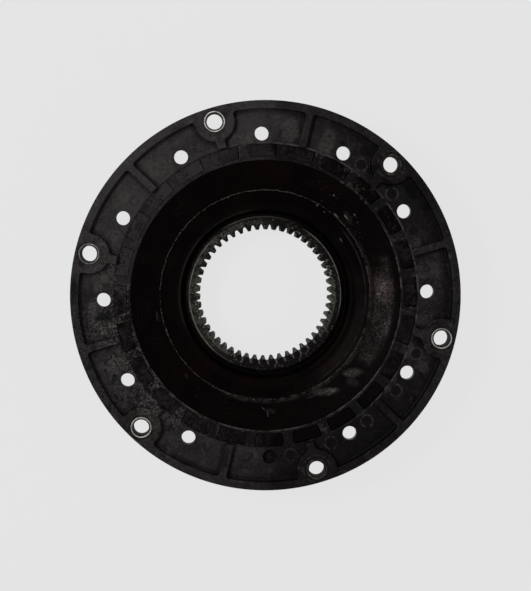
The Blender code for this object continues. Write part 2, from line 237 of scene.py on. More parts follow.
def length(name, description, value):
    """A size in metres, given in millimetres."""
    return FloatProperty(name=name, description=description, default=value * MM,
                         unit="LENGTH", precision=5)


def angle(name, description, degrees):
    """An angle, given in degrees."""
    return FloatProperty(name=name, description=description, default=math.radians(degrees),
                         subtype="ANGLE")


def share(name, description, value):
    """A value from 0 to 1."""
    return FloatProperty(name=name, description=description, default=value,
                         subtype="FACTOR", min=0.0, max=1.0)


def colour(name, description, value):
    """A linear colour."""
    return FloatVectorProperty(name=name, description=description, default=value,
                               subtype="COLOR", size=3, min=0.0, max=1.0)


class FlangeSizes(bpy.types.PropertyGroup):
    """Sizes of the moulded flange."""

    outer_diameter: length("Outer diameter", "Across the rim", CAD_WIDTH_MM)
    front_height: length("Front height", "Height of the front face", CAD_HEIGHT_MM)
    thickness: length("Thickness", "From the front face to the back", 14.0)
    pattern_angle: angle("Pattern angle", "Turn of the hole pattern", 1.4)
    bolt_count: IntProperty(name="Bolts", description="Number of bushed holes", default=6, min=3)
    rim_land: length("Rim land", "Width of the land between rim and pockets", 5.5)
    rim_round: length("Rim round", "Radius of the rim's edges", 0.8)
    pocket_length: length("Pocket length", "Radial length of a pocket", 22.8)
    pocket_depth: length("Pocket depth", "Depth below the front face", 6.0)
    pocket_corner: length("Pocket corner", "Radius of the pocket's corners", 2.0)
    pocket_draft: length("Pocket draft", "Lean of the pocket's walls", 0.25)
    floor_fillet: length("Floor fillet", "Radius between walls and floor", 1.1)
    lip_round: length("Lip round", "Radius of the pocket's upper edge", 0.35)
    rib_width: length("Rib width", "Width of the ribs between pockets", 4.8)
    boss_wall: length("Boss wall", "Wall around a bush", 6.3)
    neck_width: length("Neck width", "Width of the neck inside a boss", 5.6)
    neck_fillet: length("Neck fillet", "Fillet between boss and neck", 2.5)
    band_step: length("Band step", "Drop from the pocket floor to the window band", 0.5)
    band_slope: length("Band slope", "Drop of the band towards the hoop", 1.5)
    window_ledge: length("Window ledge", "Ledge outside the windows", 0.7)
    window_length: length("Window length", "Radial length of a window", 8.8)
    window_corner: length("Window corner", "Radius of the window's corners", 1.3)
    bar_width: length("Bar width", "Width of the bars between windows", 6.3)
    hoop_width: length("Hoop width", "Width of the hoop inside the windows", 2.2)
    hole_diameter: length("Hole diameter", "Diameter of the plain holes", 9.5)
    hole_inset: length("Hole inset", "From the pocket's inner end to the hole", 6.2)
    blind_hole: IntProperty(name="Blind hole", description="Index of the blind hole", default=9)
    blind_floor: length("Blind floor", "Thickness below the blind hole", 2.0)
    pin_diameter: length("Pin mark diameter", "Diameter of the moulding pins' marks", 6.6)
    pin_depth: length("Pin mark depth", "Depth of the moulding pins' marks", 0.5)


class BushSizes(bpy.types.PropertyGroup):
    """Sizes of the steel bushes."""

    bore_diameter: length("Bore", "Diameter of the bore", 10.6)
    wall: length("Wall", "Thickness of the wall", 1.8)
    rim_wall: length("Rim wall", "From the bush to the flange's rim", 2.4)
    chamfer: length("Chamfer", "Chamfer at the mouth of the bore", 0.8)
    edge_round: length("Edge round", "Radius of the outer edge", 0.2)


class RubberSizes(bpy.types.PropertyGroup):
    """Sizes of the rubber element."""

    hoop_gap: length("Hoop gap", "From the hoop to the rubber", 0.3)
    bond_press: length("Bond", "How far the rubber grips into the ring", 0.03)
    groove_width: length("Groove width", "From the ring to the lip", 6.8)
    groove_depth: length("Groove depth", "Depth below the ring's front", 6.5)
    groove_floor: length("Groove floor", "Width of the groove's floor", 2.3)
    lip_rise: length("Lip rise", "Rise of the lip over the ring's front", 2.0)
    lip_width: length("Lip width", "Width of the lip", 1.8)
    hoop_drop: length("Hoop drop", "Drop from the hoop to the rubber", 0.9)
    flash_step: length("Flash step", "Step inside the flash line", 1.6)
    flash_height: length("Flash height", "Height of the ragged flash", 0.9)
    collar_thickness: length("Collar thickness", "Rubber under the flange", 8.0)
    collar_overlap: length("Collar overlap", "Collar outside the windows", 1.0)
    stud_recess: length("Stud recess", "Drop from the band to the studs", 0.9)
    stud_gap: length("Stud gap", "From the window to the stud", 0.26)
    stud_shift: length("Stud shift", "Shift of the studs round the axis", 0.18)
    stud_tilt: length("Stud tilt", "Rise of the studs at the upper left", 0.4)
    ring_foot: length("Ring foot", "Bare end of the toothed ring", 5.0)


class RingSizes(bpy.types.PropertyGroup):
    """Sizes of the toothed ring."""

    tooth_count: IntProperty(name="Teeth", description="Number of internal teeth", default=50)
    gap_angle: angle("Gap angle", "Turn of the first gap between teeth", -0.8)
    module: length("Module", "Pitch diameter for each tooth", 1.85)
    pressure_angle: angle("Pressure angle", "Slope of the flanks at the pitch circle", 20.0)
    addendum: length("Addendum", "From the pitch circle to the tips", 1.6)
    dedendum: length("Dedendum", "From the pitch circle to the roots", 1.8)
    front: length("Length", "Length of the ring", 38.0)
    front_wall: length("Front wall", "Wall outside the roots at the front", 3.85)
    draft: length("Draft", "Growth of the wall behind the nose", 2.1)
    lead_in: length("Lead-in", "Chamfer of the teeth's ends", 0.8)


class Finish(bpy.types.PropertyGroup):
    """Colours of the finishes."""

    plastic_dry: colour("Dry plastic", "Dusty side of the flange", (0.030, 0.0265, 0.027))
    plastic_oiled: colour("Oiled plastic", "Oily side of the flange", (0.0026, 0.0019, 0.0021))
    # Pale dust, also the colour of painted highlights on the flange's edges
    plastic_chalk_and_highlight: colour("Chalky dust", "Specks in the pockets", (0.075, 0.066, 0.064))
    grime: colour("Grime", "Black grease on the flange", (0.0010, 0.0007, 0.0007))
    rubber: colour("Rubber", "Clean rubber", (0.0012, 0.0007, 0.0009))
    rubber_brown: colour("Brown rubber", "Stained rubber", (0.0026, 0.0013, 0.0010))
    # Dust on the rubber, also the colour of painted sheen on the dish's right slope
    rubber_dust_and_sheen: colour("Dust on rubber", "Dusty patch of the dish", (0.026, 0.0205, 0.0205))
    flash: colour("Flash", "Ragged edge of the rubber", (0.100, 0.088, 0.080))
    ring: colour("Ring plastic", "Plastic of the toothed ring", (0.036, 0.034, 0.028))
    ring_dark: colour("Ring dirt", "Oily dirt on the toothed ring", (0.0024, 0.0017, 0.0015))
    # Colour of wear and of painted highlights on the ring
    ring_wear_and_highlight: colour("Ring wear", "Worn and highlit edges and bare spots of the ring", (0.16, 0.155, 0.14))
    steel: colour("Steel", "Zinc plating, dulled", (0.085, 0.082, 0.078))
    # Painted highlight on the bushes' rounded edges
    steel_edge_highlight: colour("Bright steel", "Zinc plating at the edges", (0.26, 0.25, 0.235))
    rust: colour("Rust", "Rusty dirt on the bushes", (0.009, 0.0055, 0.0045))
    backdrop: colour("Backdrop", "Floor and background", (0.783, 0.783, 0.783))


class StageSettings(bpy.types.PropertyGroup):
    """Camera, lights and floor."""

    distance: FloatProperty(name="Camera distance", description="From the front face",
                            default=1.2, unit="LENGTH")
    tilt_x: angle("Tilt across", "Lean of the camera to the right", -1.62)
    tilt_y: angle("Tilt up", "Lean of the camera upwards", 2.95)
    pixel_radius: FloatProperty(name="Rim radius", description="Radius of the rim in pixels",
                                default=195.64)
    pixel_x: FloatProperty(name="Centre across", description="Right of the centre, in pixels",
                           default=0.5)
    pixel_y: FloatProperty(name="Centre down", description="Below the centre, in pixels",
                           default=0.8)
    key_power: FloatProperty(name="Key light", description="Power of the lamp at the left",
                             default=8.4, unit="POWER")
    fill_power: FloatProperty(name="Fill light", description="Power of the lamp at the right",
                              default=3.0, unit="POWER")
    world_level: share("World", "Level of the even light", 0.3)
    shadow_share: share("Shadow", "How much of the floor shows shadows", 0.05)
    floor_size: FloatProperty(name="Floor", description="Side of the floor", default=6.0,
                              unit="LENGTH")


def layout(scene):
    """Radii, heights and angles that the pieces share."""
    flange = scene.coupling_flange
    bush = scene.coupling_bush
    rubber = scene.coupling_rubber
    ring = scene.coupling_ring
    plan = SimpleNamespace(flange=flange, bush=bush, rubber=rubber, ring=ring)

    plan.hole_pitch = math.tau / (2 * flange.bolt_count)
    plan.window_pitch = plan.hole_pitch / 2
    plan.hole_angles = [flange.pattern_angle + i * plan.hole_pitch
                        for i in range(2 * flange.bolt_count)]
    plan.window_angles = [flange.pattern_angle + i * plan.window_pitch
                          for i in range(4 * flange.bolt_count)]
    plan.boss_angles = [flange.pattern_angle + (2 * i + 1.5) * plan.hole_pitch
                        for i in range(flange.bolt_count)]
    plan.pin_angles = [bearing + plan.window_pitch / 2 for bearing in plan.window_angles]

    plan.front = flange.front_height
    plan.back = plan.front - flange.thickness
    plan.pocket_floor = plan.front - flange.pocket_depth
    plan.band_outer = plan.pocket_floor - flange.band_step
    plan.band_inner = plan.band_outer - flange.band_slope
    plan.collar_top = plan.back - rubber.hoop_gap
    plan.collar_back = plan.collar_top - rubber.collar_thickness
    plan.lip_height = ring.front + rubber.lip_rise
    plan.groove_height = ring.front - rubber.groove_depth

    plan.bush_radius = bush.bore_diameter / 2 + bush.wall
    plan.boss_radius = plan.bush_radius + flange.boss_wall
    plan.outer_radius = flange.outer_diameter / 2
    plan.bolt_radius = plan.outer_radius - bush.rim_wall - plan.bush_radius
    plan.pocket_outer = plan.outer_radius - flange.rim_land
    plan.pocket_inner = plan.pocket_outer - flange.pocket_length
    plan.hole_radius = plan.pocket_inner + flange.hole_inset
    plan.window_outer = plan.pocket_inner - flange.window_ledge
    plan.window_inner = plan.window_outer - flange.window_length
    plan.hoop_inner = plan.window_inner - flange.hoop_width

    plan.pitch_radius = ring.tooth_count * ring.module / 2
    plan.tip_radius = plan.pitch_radius - ring.addendum
    plan.root_radius = plan.pitch_radius + ring.dedendum
    plan.ring_front = plan.root_radius + ring.front_wall
    plan.ring_body = plan.ring_front + ring.draft

    plan.rubber_bore = plan.ring_body - rubber.bond_press
    plan.rubber_outer = plan.hoop_inner - rubber.hoop_gap / 3
    plan.lip_radius = plan.ring_front + rubber.groove_width
    plan.collar_radius = plan.window_outer + rubber.collar_overlap
    plan.dish_top = plan.band_inner - rubber.hoop_drop
    return plan


def polar(radius, bearing):
    """Flat point at a radius and angle."""
    return Vector((radius * math.cos(bearing), radius * math.sin(bearing)))


def turned(point, bearing):
    """Flat point turned about the axis."""
    return Matrix.Rotation(bearing, 2) @ point


def verts_of(geometry):
    """The vertices in an operator's result."""
    return [item for item in geometry if isinstance(item, bmesh.types.BMVert)]


class Pen:
    """Draws a flat outline by extruding and spinning its last vertex."""

    def __init__(self, bm, start, height):
        self.bm = bm
        self.first = bm.verts.new((*start, height))
        self.last = self.first

    def line(self, point):
        """Extrude the last vertex to a flat point."""
        self.last = bmesh.ops.extrude_vert_indiv(self.bm, verts=[self.last])["verts"][0]
        self.last.co.xy = point

    def arc(self, centre, sweep):
        """Spin the last vertex about a flat centre."""
        radius = (self.last.co.xy - centre).length
        step = min(CORNER_STEP, ARC_LENGTH / radius)
        swept = bmesh.ops.spin(
            self.bm, geom=[self.last], cent=(*centre, self.last.co.z), axis=(0.0, 0.0, 1.0),
            angle=sweep, steps=math.ceil(abs(sweep) / step))
        self.last = verts_of(swept["geom_last"])[0]

    def close(self):
        """Join the ends and fill the outline with a face."""
        if (self.last.co - self.first.co).length < TINY:
            bmesh.ops.pointmerge(self.bm, verts=[self.last, self.first],
                                 merge_co=self.first.co)
        else:
            self.bm.edges.new((self.last, self.first))
        return bmesh.ops.edgenet_fill(self.bm, edges=self.bm.edges)["faces"][0]


def raise_face(bm, face, rise):
    """Extrude a flat face upwards and return the lower face of the solid."""
    top = verts_of(bmesh.ops.extrude_face_region(bm, geom=[face])["geom"])
    bmesh.ops.translate(bm, verts=top, vec=(0.0, 0.0, rise))
    bmesh.ops.recalc_face_normals(bm, faces=bm.faces)
    return min(bm.faces, key=lambda item: item.calc_center_median().z)


def sink(bm, face, steps):
    """Inset a downward face and push it down, step by step."""
    for inset, drop in steps:
        bmesh.ops.inset_region(bm, faces=[face], thickness=inset, depth=drop,
                               use_even_offset=True)


def rounded_lip(radius, segments=3):
    """Steps of a convex round, from a flat surface into a hollow."""
    turns = [math.pi / 2 * i / segments for i in range(segments + 1)]
    return [(radius * (math.sin(b) - math.sin(a)), radius * (math.cos(a) - math.cos(b)))
            for a, b in zip(turns, turns[1:])]


def rounded_floor(radius, segments=4):
    """Steps of a concave round, from a wall to a floor."""
    return [(inset, drop) for drop, inset in rounded_lip(radius, segments)]


def copies(bm, bearings):
    """Turn the geometry to the first angle and add a copy at each of the others."""
    original = list(bm.verts) + list(bm.edges) + list(bm.faces)
    for bearing in bearings[1:]:
        twin = bmesh.ops.duplicate(bm, geom=original)["geom"]
        bmesh.ops.rotate(bm, verts=verts_of(twin), cent=(0.0, 0.0, 0.0),
                         matrix=Matrix.Rotation(bearing, 3, "Z"))
    bmesh.ops.rotate(bm, verts=verts_of(original), cent=(0.0, 0.0, 0.0),
                     matrix=Matrix.Rotation(bearings[0], 3, "Z"))


def lathe(bm, corners, steps, bearing=0.0):
    """Round the corners of a section and spin it about the axis.

    Each corner is a radius, a height and the radius of its rounding.
    """
    direction = polar(1.0, bearing)
    verts = [bm.verts.new((*(direction * radius), height)) for radius, height, _ in corners]
    bm.faces.new(verts)
    for vert, (_, _, rounding) in zip(verts, corners):
        if rounding > 0.0:
            bmesh.ops.bevel(bm, geom=[vert], offset=rounding, segments=4, profile=0.5,
                            affect="VERTICES", material=-1)
    bmesh.ops.delete(bm, geom=list(bm.faces), context="FACES_ONLY")
    bmesh.ops.spin(bm, geom=list(bm.verts) + list(bm.edges), axis=(0.0, 0.0, 1.0),
                   angle=math.tau, steps=steps, use_merge=True)
    bmesh.ops.recalc_face_normals(bm, faces=bm.faces)


def piece_from(name, bm):
    """Put a bmesh in the scene as a named object and free it."""
    mesh = bpy.data.meshes.new(name)
    bm.to_mesh(mesh)
    bm.free()
    piece = bpy.data.objects.new(name, mesh)
    bpy.context.scene.collection.objects.link(piece)
    return piece


def cut(piece, bm):
    """Cut a tool mesh out of a piece with an exact Boolean."""
    tool = piece_from("tool", bm)
    modifier = piece.modifiers.new("Boolean", "BOOLEAN")
    modifier.operation = "DIFFERENCE"
    modifier.solver = "EXACT"
    modifier.object = tool
    evaluated = piece.evaluated_get(bpy.context.evaluated_depsgraph_get())
    mesh = bpy.data.meshes.new_from_object(evaluated)
    piece.modifiers.clear()
    piece.data = mesh
    mesh.name = piece.name
    bpy.data.objects.remove(tool, do_unlink=True)


def dress(piece, material, node=None):
    """Give a piece its material and shading, and tie it to the frame."""
    piece.data.materials.clear()
    piece.data.materials.append(material)
    piece.data.shade_smooth()
    piece.data.set_sharp_from_angle(angle=SHARP_ANGLE)
    normals = piece.modifiers.new("Weighted normals", "WEIGHTED_NORMAL")
    normals.keep_sharp = True
    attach(piece, "root")
    if node:
        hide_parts(node)


def draw_pocket(bm, plan, outset):
    """Outline of a pocket about the X axis, with its rib at the low side.

    An outset makes it larger all round. It runs on over the lower band.
    """
    flange = plan.flange
    half = plan.hole_pitch / 2
    inner = plan.hoop_inner - 2 * flange.floor_fillet
    outer = plan.pocket_outer + outset
    corner = flange.pocket_corner + outset
    axis = Vector((0.0, 0.0))

    rib_side = flange.rib_width / 2 - outset
    low_y = rib_side + corner
    low_x = math.sqrt((outer - corner) ** 2 - low_y ** 2)
    low_touch = math.atan2(low_y, low_x)
    pen = Pen(bm, turned(Vector((inner, rib_side)), -half), plan.front)
    pen.line(turned(Vector((low_x, rib_side)), -half))
    pen.arc(turned(Vector((low_x, low_y)), -half), math.pi / 2 + low_touch)

    boss = plan.boss_radius - outset
    high_y = boss + corner
    high_x = math.sqrt((outer - corner) ** 2 - high_y ** 2)
    high_touch = math.atan2(high_y, high_x)
    pen.arc(axis, 2 * half - low_touch - high_touch)
    pen.arc(turned(Vector((high_x, -high_y)), half), math.pi / 2 + high_touch)
    pen.line(turned(Vector((plan.bolt_radius, -boss)), half))

    neck = flange.neck_width / 2 - outset
    fillet = flange.neck_fillet + outset
    fillet_y = neck + fillet
    fillet_drop = math.sqrt((boss + fillet) ** 2 - fillet_y ** 2)
    wrap = math.atan2(fillet_y, -fillet_drop) - math.pi / 2
    pen.arc(turned(Vector((plan.bolt_radius, 0.0)), half), -wrap)
    pen.arc(turned(Vector((plan.bolt_radius - fillet_drop, -fillet_y)), half), wrap)
    pen.line(turned(Vector((inner, -neck)), half))
    return pen.close()


def draw_window(bm, plan, inset, height):
    """Outline of a window about the X axis."""
    flange = plan.flange
    half = plan.window_pitch / 2
    outer = plan.window_outer - inset
    inner = plan.window_inner + inset
    corner = flange.window_corner - inset
    bar_side = flange.bar_width / 2 + inset
    middle = bar_side + corner
    in_x = math.sqrt((inner + corner) ** 2 - middle ** 2)
    out_x = math.sqrt((outer - corner) ** 2 - middle ** 2)
    in_touch = math.atan2(middle, in_x)
    out_touch = math.atan2(middle, out_x)
    axis = Vector((0.0, 0.0))

    pen = Pen(bm, turned(Vector((in_x, bar_side)), -half), height)
    pen.line(turned(Vector((out_x, bar_side)), -half))
    pen.arc(turned(Vector((out_x, middle)), -half), math.pi / 2 + out_touch)
    pen.arc(axis, 2 * (half - out_touch))
    pen.arc(turned(Vector((out_x, -middle)), half), math.pi / 2 + out_touch)
    pen.line(turned(Vector((in_x, -bar_side)), half))
    pen.arc(turned(Vector((in_x, -middle)), half), math.pi / 2 - in_touch)
    pen.arc(axis, -2 * (half - in_touch))
    pen.arc(turned(Vector((in_x, middle)), -half), math.pi / 2 - in_touch)
    return pen.close()


def draw_circle(bm, centre, radius, height):
    """Outline of a round hole."""
    pen = Pen(bm, centre + Vector((radius, 0.0)), height)
    pen.arc(centre, math.tau)
    return pen.close()


def pocket_tool(plan, mirror):
    """Every second pocket, with rounded edges, drafted walls and filleted floors."""
    flange = plan.flange
    bm = bmesh.new()
    face = draw_pocket(bm, plan, flange.lip_round)
    face = raise_face(bm, face, OVERRUN)
    wall = flange.pocket_depth - flange.lip_round - flange.floor_fillet
    steps = rounded_lip(flange.lip_round)
    steps += [(flange.pocket_draft, wall)]
    steps += rounded_floor(flange.floor_fillet)
    sink(bm, face, steps)
    if mirror:
        bmesh.ops.scale(bm, verts=bm.verts, vec=(1.0, -1.0, 1.0))
        bmesh.ops.recalc_face_normals(bm, faces=bm.faces)
        copies(bm, plan.hole_angles[0::2])
    else:
        copies(bm, plan.hole_angles[1::2])
    return bm


def window_tool(plan):
    """All the windows, through the band."""
    bm = bmesh.new()
    face = draw_window(bm, plan, 0.0, plan.back - OVERRUN)
    raise_face(bm, face, plan.flange.thickness)
    copies(bm, plan.window_angles)
    return bm


def round_tool(centre_radius, bearings, radius, top, lip, depth, floor_fillet=0.0):
    """Round hollows on a circle, with a rounded lip and, if wanted, a filleted floor."""
    bm = bmesh.new()
    face = draw_circle(bm, Vector((centre_radius, 0.0)), radius + lip, top)
    face = raise_face(bm, face, OVERRUN)
    steps = rounded_lip(lip)
    steps += [(TINY, depth - lip - floor_fillet)]
    if floor_fillet:
        steps += rounded_floor(floor_fillet, 2)
    sink(bm, face, steps)
    copies(bm, bearings)
    return bm


class COUPLING_OT_flange(bpy.types.Operator):
    """Make the moulded flange, with its pockets, bosses, windows and holes."""

    bl_idname = "coupling.flange"
    bl_label = "Flange"

    def execute(self, context):
        plan = layout(context.scene)
        flange = plan.flange
        bm = bmesh.new()
        lathe(bm, [
            (plan.hoop_inner, plan.back, 0.3 * MM),
            (plan.outer_radius, plan.back, flange.rim_round),
            (plan.outer_radius, plan.front, flange.rim_round),
            (plan.pocket_inner, plan.front, flange.lip_round),
            (plan.pocket_inner, plan.band_outer, 0.3 * MM),
            (plan.hoop_inner, plan.band_inner, 0.5 * MM),
        ], FLANGE_STEPS, flange.pattern_angle)
        piece = piece_from("moulded_flange", bm)
        cut(piece, window_tool(plan))
        cut(piece, pocket_tool(plan, True))
        cut(piece, pocket_tool(plan, False))

        lip = flange.lip_round
        hole = flange.hole_diameter / 2
        through = plan.pocket_floor - plan.back + OVERRUN
        blind = through - OVERRUN - flange.blind_floor
        seat = plan.bush_radius + SEAT_GAP
        pin = flange.pin_diameter / 2
        open_holes = [bearing for i, bearing in enumerate(plan.hole_angles)
                      if i != flange.blind_hole]
        blind_hole = [plan.hole_angles[flange.blind_hole]]
        cut(piece, round_tool(plan.hole_radius, open_holes, hole, plan.pocket_floor, lip, through))
        cut(piece, round_tool(plan.hole_radius, blind_hole, hole, plan.pocket_floor, lip, blind,
                              lip))
        cut(piece, round_tool(plan.bolt_radius, plan.boss_angles, seat, plan.front, SEAT_LIP,
                              flange.thickness + OVERRUN))
        cut(piece, round_tool(plan.hole_radius, plan.pin_angles, pin, plan.pocket_floor, PIN_LIP,
                              flange.pin_depth))
        dress(piece, flange_material(context.scene.coupling_finish, plan), "flange")
        return {"FINISHED"}


class COUPLING_OT_bushes(bpy.types.Operator):
    """Make the six steel bushes."""

    bl_idname = "coupling.bushes"
    bl_label = "Bushes"

    def execute(self, context):
        plan = layout(context.scene)
        bush = plan.bush
        bore = bush.bore_diameter / 2
        finish = context.scene.coupling_finish
        steel = steel_material(finish, "zinc_plated_steel", 0.1, plan)
        dull = steel_material(finish, "dull_steel", 0.6, plan)
        rusty = steel_material(finish, "rusty_steel", 0.97, plan)
        finishes = {1: rusty, 3: dull, 5: rusty}
        for number, bearing in enumerate(plan.boss_angles, start=1):
            bm = bmesh.new()
            lathe(bm, [
                (bore, plan.back + bush.chamfer, BORE_ROUND),
                (bore + bush.chamfer, plan.back, BORE_ROUND),
                (plan.bush_radius, plan.back, bush.edge_round),
                (plan.bush_radius, plan.front, bush.edge_round),
                (bore + bush.chamfer, plan.front, BORE_ROUND),
                (bore, plan.front - bush.chamfer, BORE_ROUND),
            ], BUSH_STEPS)
            bmesh.ops.translate(bm, verts=bm.verts, vec=(*polar(plan.bolt_radius, bearing), 0.0))
            piece = piece_from(f"steel_bush_{number}", bm)
            dress(piece, finishes.get(number, steel), f"bush_{number}")
        return {"FINISHED"}


def dish_point(plan, across, up):
    """Point of the dish, as shares of its width and height from the lip."""
    width = plan.rubber_outer - plan.lip_radius
    height = plan.dish_top - plan.lip_height
    return plan.lip_radius + width * across, plan.lip_height + height * up


def back_point(plan, across, up):
    """Point of the back, as shares of its width and height from the ring."""
    foot = plan.rubber.ring_foot
    width = plan.rubber_outer - plan.rubber_bore
    return plan.rubber_bore + width * across, foot + (plan.collar_back - foot) * up


def rubber_section(plan):
    """Section of the rubber: collar, dish, flash step, lip, groove and back."""
    rubber = plan.rubber
    flash = dish_point(plan, *FLASH_PLACE)
    step = rubber.flash_step
    return [
        (plan.collar_radius, plan.collar_top, 0.3 * MM),
        (plan.rubber_outer, plan.collar_top, 0.0),
        (plan.rubber_outer, plan.dish_top, 0.5 * MM),
        (*dish_point(plan, *DISH_CORNER), 4.0 * MM),
        (*flash, 0.15 * MM),
        (flash[0] - step, flash[1] - step, 0.5 * MM),
        (*dish_point(plan, *DISH_FOOT), 2.0 * MM),
        (plan.lip_radius + rubber.lip_width / 2, plan.lip_height, 0.5 * MM),
        (plan.lip_radius - rubber.lip_width / 2, plan.lip_height - 0.6 * MM, 0.5 * MM),
        (plan.rubber_bore + rubber.groove_floor, plan.groove_height, 0.9 * MM),
        (plan.rubber_bore, plan.groove_height, 0.0),
        (plan.rubber_bore, rubber.ring_foot, 0.0),
        (*back_point(plan, *BACK_FOOT), 1.5 * MM),
        (*back_point(plan, *BACK_CORNER), 8.0 * MM),
        (plan.rubber_outer, plan.collar_back, 3.0 * MM),
        (plan.collar_radius, plan.collar_back, 1.0 * MM),
    ]


def add_studs(bm, plan):
    """Add the studs that fill the windows, with domed tops that follow the band."""
    flange = plan.flange
    studs = bmesh.new()
    gap = plan.rubber.stud_gap
    outline = draw_window(studs, plan, gap, plan.collar_top - MM)
    raise_face(studs, outline, plan.band_inner - plan.rubber.stud_recess - plan.collar_top + MM)
    top = max(studs.faces, key=lambda item: item.calc_center_median().z)
    sink(studs, top, [(inset * MM, drop * MM) for inset, drop in STUD_DOME])
    slope = flange.band_slope / (plan.pocket_inner - plan.hoop_inner)
    for vert in studs.verts:
        if vert.co.z > plan.back:
            vert.co.z += slope * (vert.co.x - plan.hoop_inner)
    bmesh.ops.rotate(studs, verts=studs.verts, cent=(0.0, 0.0, 0.0),
                     matrix=Matrix.Rotation(plan.rubber.stud_shift / plan.hoop_inner, 3, "Z"))
    copies(studs, plan.window_angles)
    dusty_side = polar(1.0, math.radians(DUSTY_BEARING))
    for vert in studs.verts:
        if vert.co.z > plan.back:
            vert.co.z += plan.rubber.stud_tilt * vert.co.xy.normalized().dot(dusty_side)
    mesh = bpy.data.meshes.new("studs")
    studs.to_mesh(mesh)
    studs.free()
    bm.from_mesh(mesh)
    bpy.data.meshes.remove(mesh)


def wave(direction, waves, height):
    """Value of a noise round the axis, in one direction."""
    return noise.noise((*(direction * waves), height))


def make_ragged(bm, radius, height, rise):
    """Wear down, widen and sway the upper edge of the flash, at random round the axis."""
    for vert in bm.verts:
        if vert.co.z > height:
            direction = vert.co.xy.normalized()
            rag = wave(direction, RAG_WAVES, 0.0) + 0.6 * wave(direction, RIPPLE_WAVES, 4.0)
            vert.co.z -= rise * min(1.0, max(0.0, 0.55 - 0.9 * rag))
            bead = max(0.0, wave(direction, BEAD_WAVES, 2.0) - 0.1)
            spread = 4.0 * bead * (vert.co.xy.length / radius - 1.0)
            sway = 0.5 * MM / radius * wave(direction, SWAY_WAVES, 9.0)
            vert.co.xy *= 1.0 + spread + sway


class COUPLING_OT_rubber(bpy.types.Operator):
    """Make the rubber element with its studs and its ragged flash line."""

    bl_idname = "coupling.rubber"
    bl_label = "Rubber element"

    def execute(self, context):
        plan = layout(context.scene)
        finish = context.scene.coupling_finish
        bm = bmesh.new()
        lathe(bm, rubber_section(plan), RUBBER_STEPS)
        add_studs(bm, plan)
        piece = piece_from("rubber_body", bm)
        dress(piece, rubber_material(finish, plan), "rubber_element")

        radius, height = dish_point(plan, *FLASH_PLACE)
        rise = plan.rubber.flash_height
        bm = bmesh.new()
        lathe(bm, [
            (radius + 0.35 * MM, height - 1.5 * MM, 0.0),
            (radius + 0.10 * MM, height + rise, 0.0),
            (radius - 0.40 * MM, height + rise, 0.0),
            (radius - 0.65 * MM, height - 1.5 * MM, 0.0),
        ], FLASH_STEPS)
        make_ragged(bm, radius, height, rise)
        piece = piece_from("flash_line", bm)
        dress(piece, flash_material(finish))
        return {"FINISHED"}


def involute(value):
    """The involute function of an angle."""
    return math.tan(value) - value


def draw_tooth_gap(bm, plan, height):
    """Outline of one gap between two teeth, about the X axis."""
    ring = plan.ring
    base = plan.pitch_radius * math.cos(ring.pressure_angle)

    def half_angle(radius):
        return (math.pi / (2 * ring.tooth_count) + involute(ring.pressure_angle)
                - involute(math.acos(min(1.0, base / radius))))

    low = plan.tip_radius - ring.addendum / 2
    depth = plan.root_radius - low
    radii = [low + depth * i / TOOTH_STEPS for i in range(TOOTH_STEPS + 1)]
    pen = Pen(bm, polar(radii[0], -half_angle(radii[0])), height)
    for radius in radii[1:]:
        pen.line(polar(radius, -half_angle(radius)))
    for radius in reversed(radii):
        pen.line(polar(radius, half_angle(radius)))
    return pen.close()


class COUPLING_OT_ring(bpy.types.Operator):
    """Make the ring with internal teeth."""

    bl_idname = "coupling.ring"
    bl_label = "Toothed ring"

    def execute(self, context):
        plan = layout(context.scene)
        ring = plan.ring
        bm = bmesh.new()
        lathe(bm, [
            (plan.tip_radius, ring.lead_in, 0.4 * MM),
            (plan.tip_radius + ring.lead_in, 0.0, 0.3 * MM),
            (plan.ring_body, 0.0, ring.lead_in),
            (plan.ring_body, plan.groove_height, 0.0),
            (plan.ring_front, ring.front, 0.5 * MM),
            (plan.tip_radius + ring.lead_in, ring.front, 0.3 * MM),
            (plan.tip_radius, ring.front - ring.lead_in, 0.4 * MM),
        ], RING_STEPS, ring.gap_angle)
        piece = piece_from("internal_gear", bm)
        bm = bmesh.new()
        face = draw_tooth_gap(bm, plan, -OVERRUN)
        raise_face(bm, face, ring.front + 2 * OVERRUN)
        roots = [edge for edge in bm.edges
                 if abs(edge.verts[0].co.z - edge.verts[1].co.z) > OVERRUN
                 and edge.verts[0].co.xy.length > plan.root_radius - TINY]
        bmesh.ops.bevel(bm, geom=roots, offset=ROOT_ROUND, segments=3, profile=0.5,
                        affect="EDGES", material=-1)
        pitch = math.tau / ring.tooth_count
        copies(bm, [ring.gap_angle + i * pitch for i in range(ring.tooth_count)])
        cut(piece, bm)
        dress(piece, ring_material(context.scene.coupling_finish, plan), "toothed_ring")
        return {"FINISHED"}


def add(tree, kind, inputs=None, **settings):
    """Add a shader node, and set or link its inputs."""
    node = tree.nodes.new("ShaderNode" + kind)
    for key, value in settings.items():
        setattr(node, key, value)
    for key, value in (inputs or {}).items():
        if isinstance(value, bpy.types.NodeSocket):
            tree.links.new(value, node.inputs[key])
        else:
            node.inputs[key].default_value = value
    return node


def maths(tree, operation, first, second=0.0, clamp=False):
    """Output of a Math node."""
    return add(tree, "Math", {0: first, 1: second}, operation=operation, use_clamp=clamp).outputs[0]


def times(tree, first, *others):
    """Product of some values."""
    for other in others:
        first = maths(tree, "MULTIPLY", first, other)
    return first


def most(tree, first, *others):
    """Greatest of some values."""
    for other in others:
        first = maths(tree, "MAXIMUM", first, other)
    return first


def inverse(tree, mask):
    """Mask of all that another mask leaves out."""
    return maths(tree, "SUBTRACT", 1.0, mask)


def vector_maths(tree, operation, first, second=(0.0, 0.0, 0.0)):
    """Vector output of a Vector Math node."""
    return add(tree, "VectorMath", {0: first, 1: second}, operation=operation).outputs[0]


def size_of(tree, vector):
    """Length of a vector."""
    return add(tree, "VectorMath", {0: vector}, operation="LENGTH").outputs["Value"]


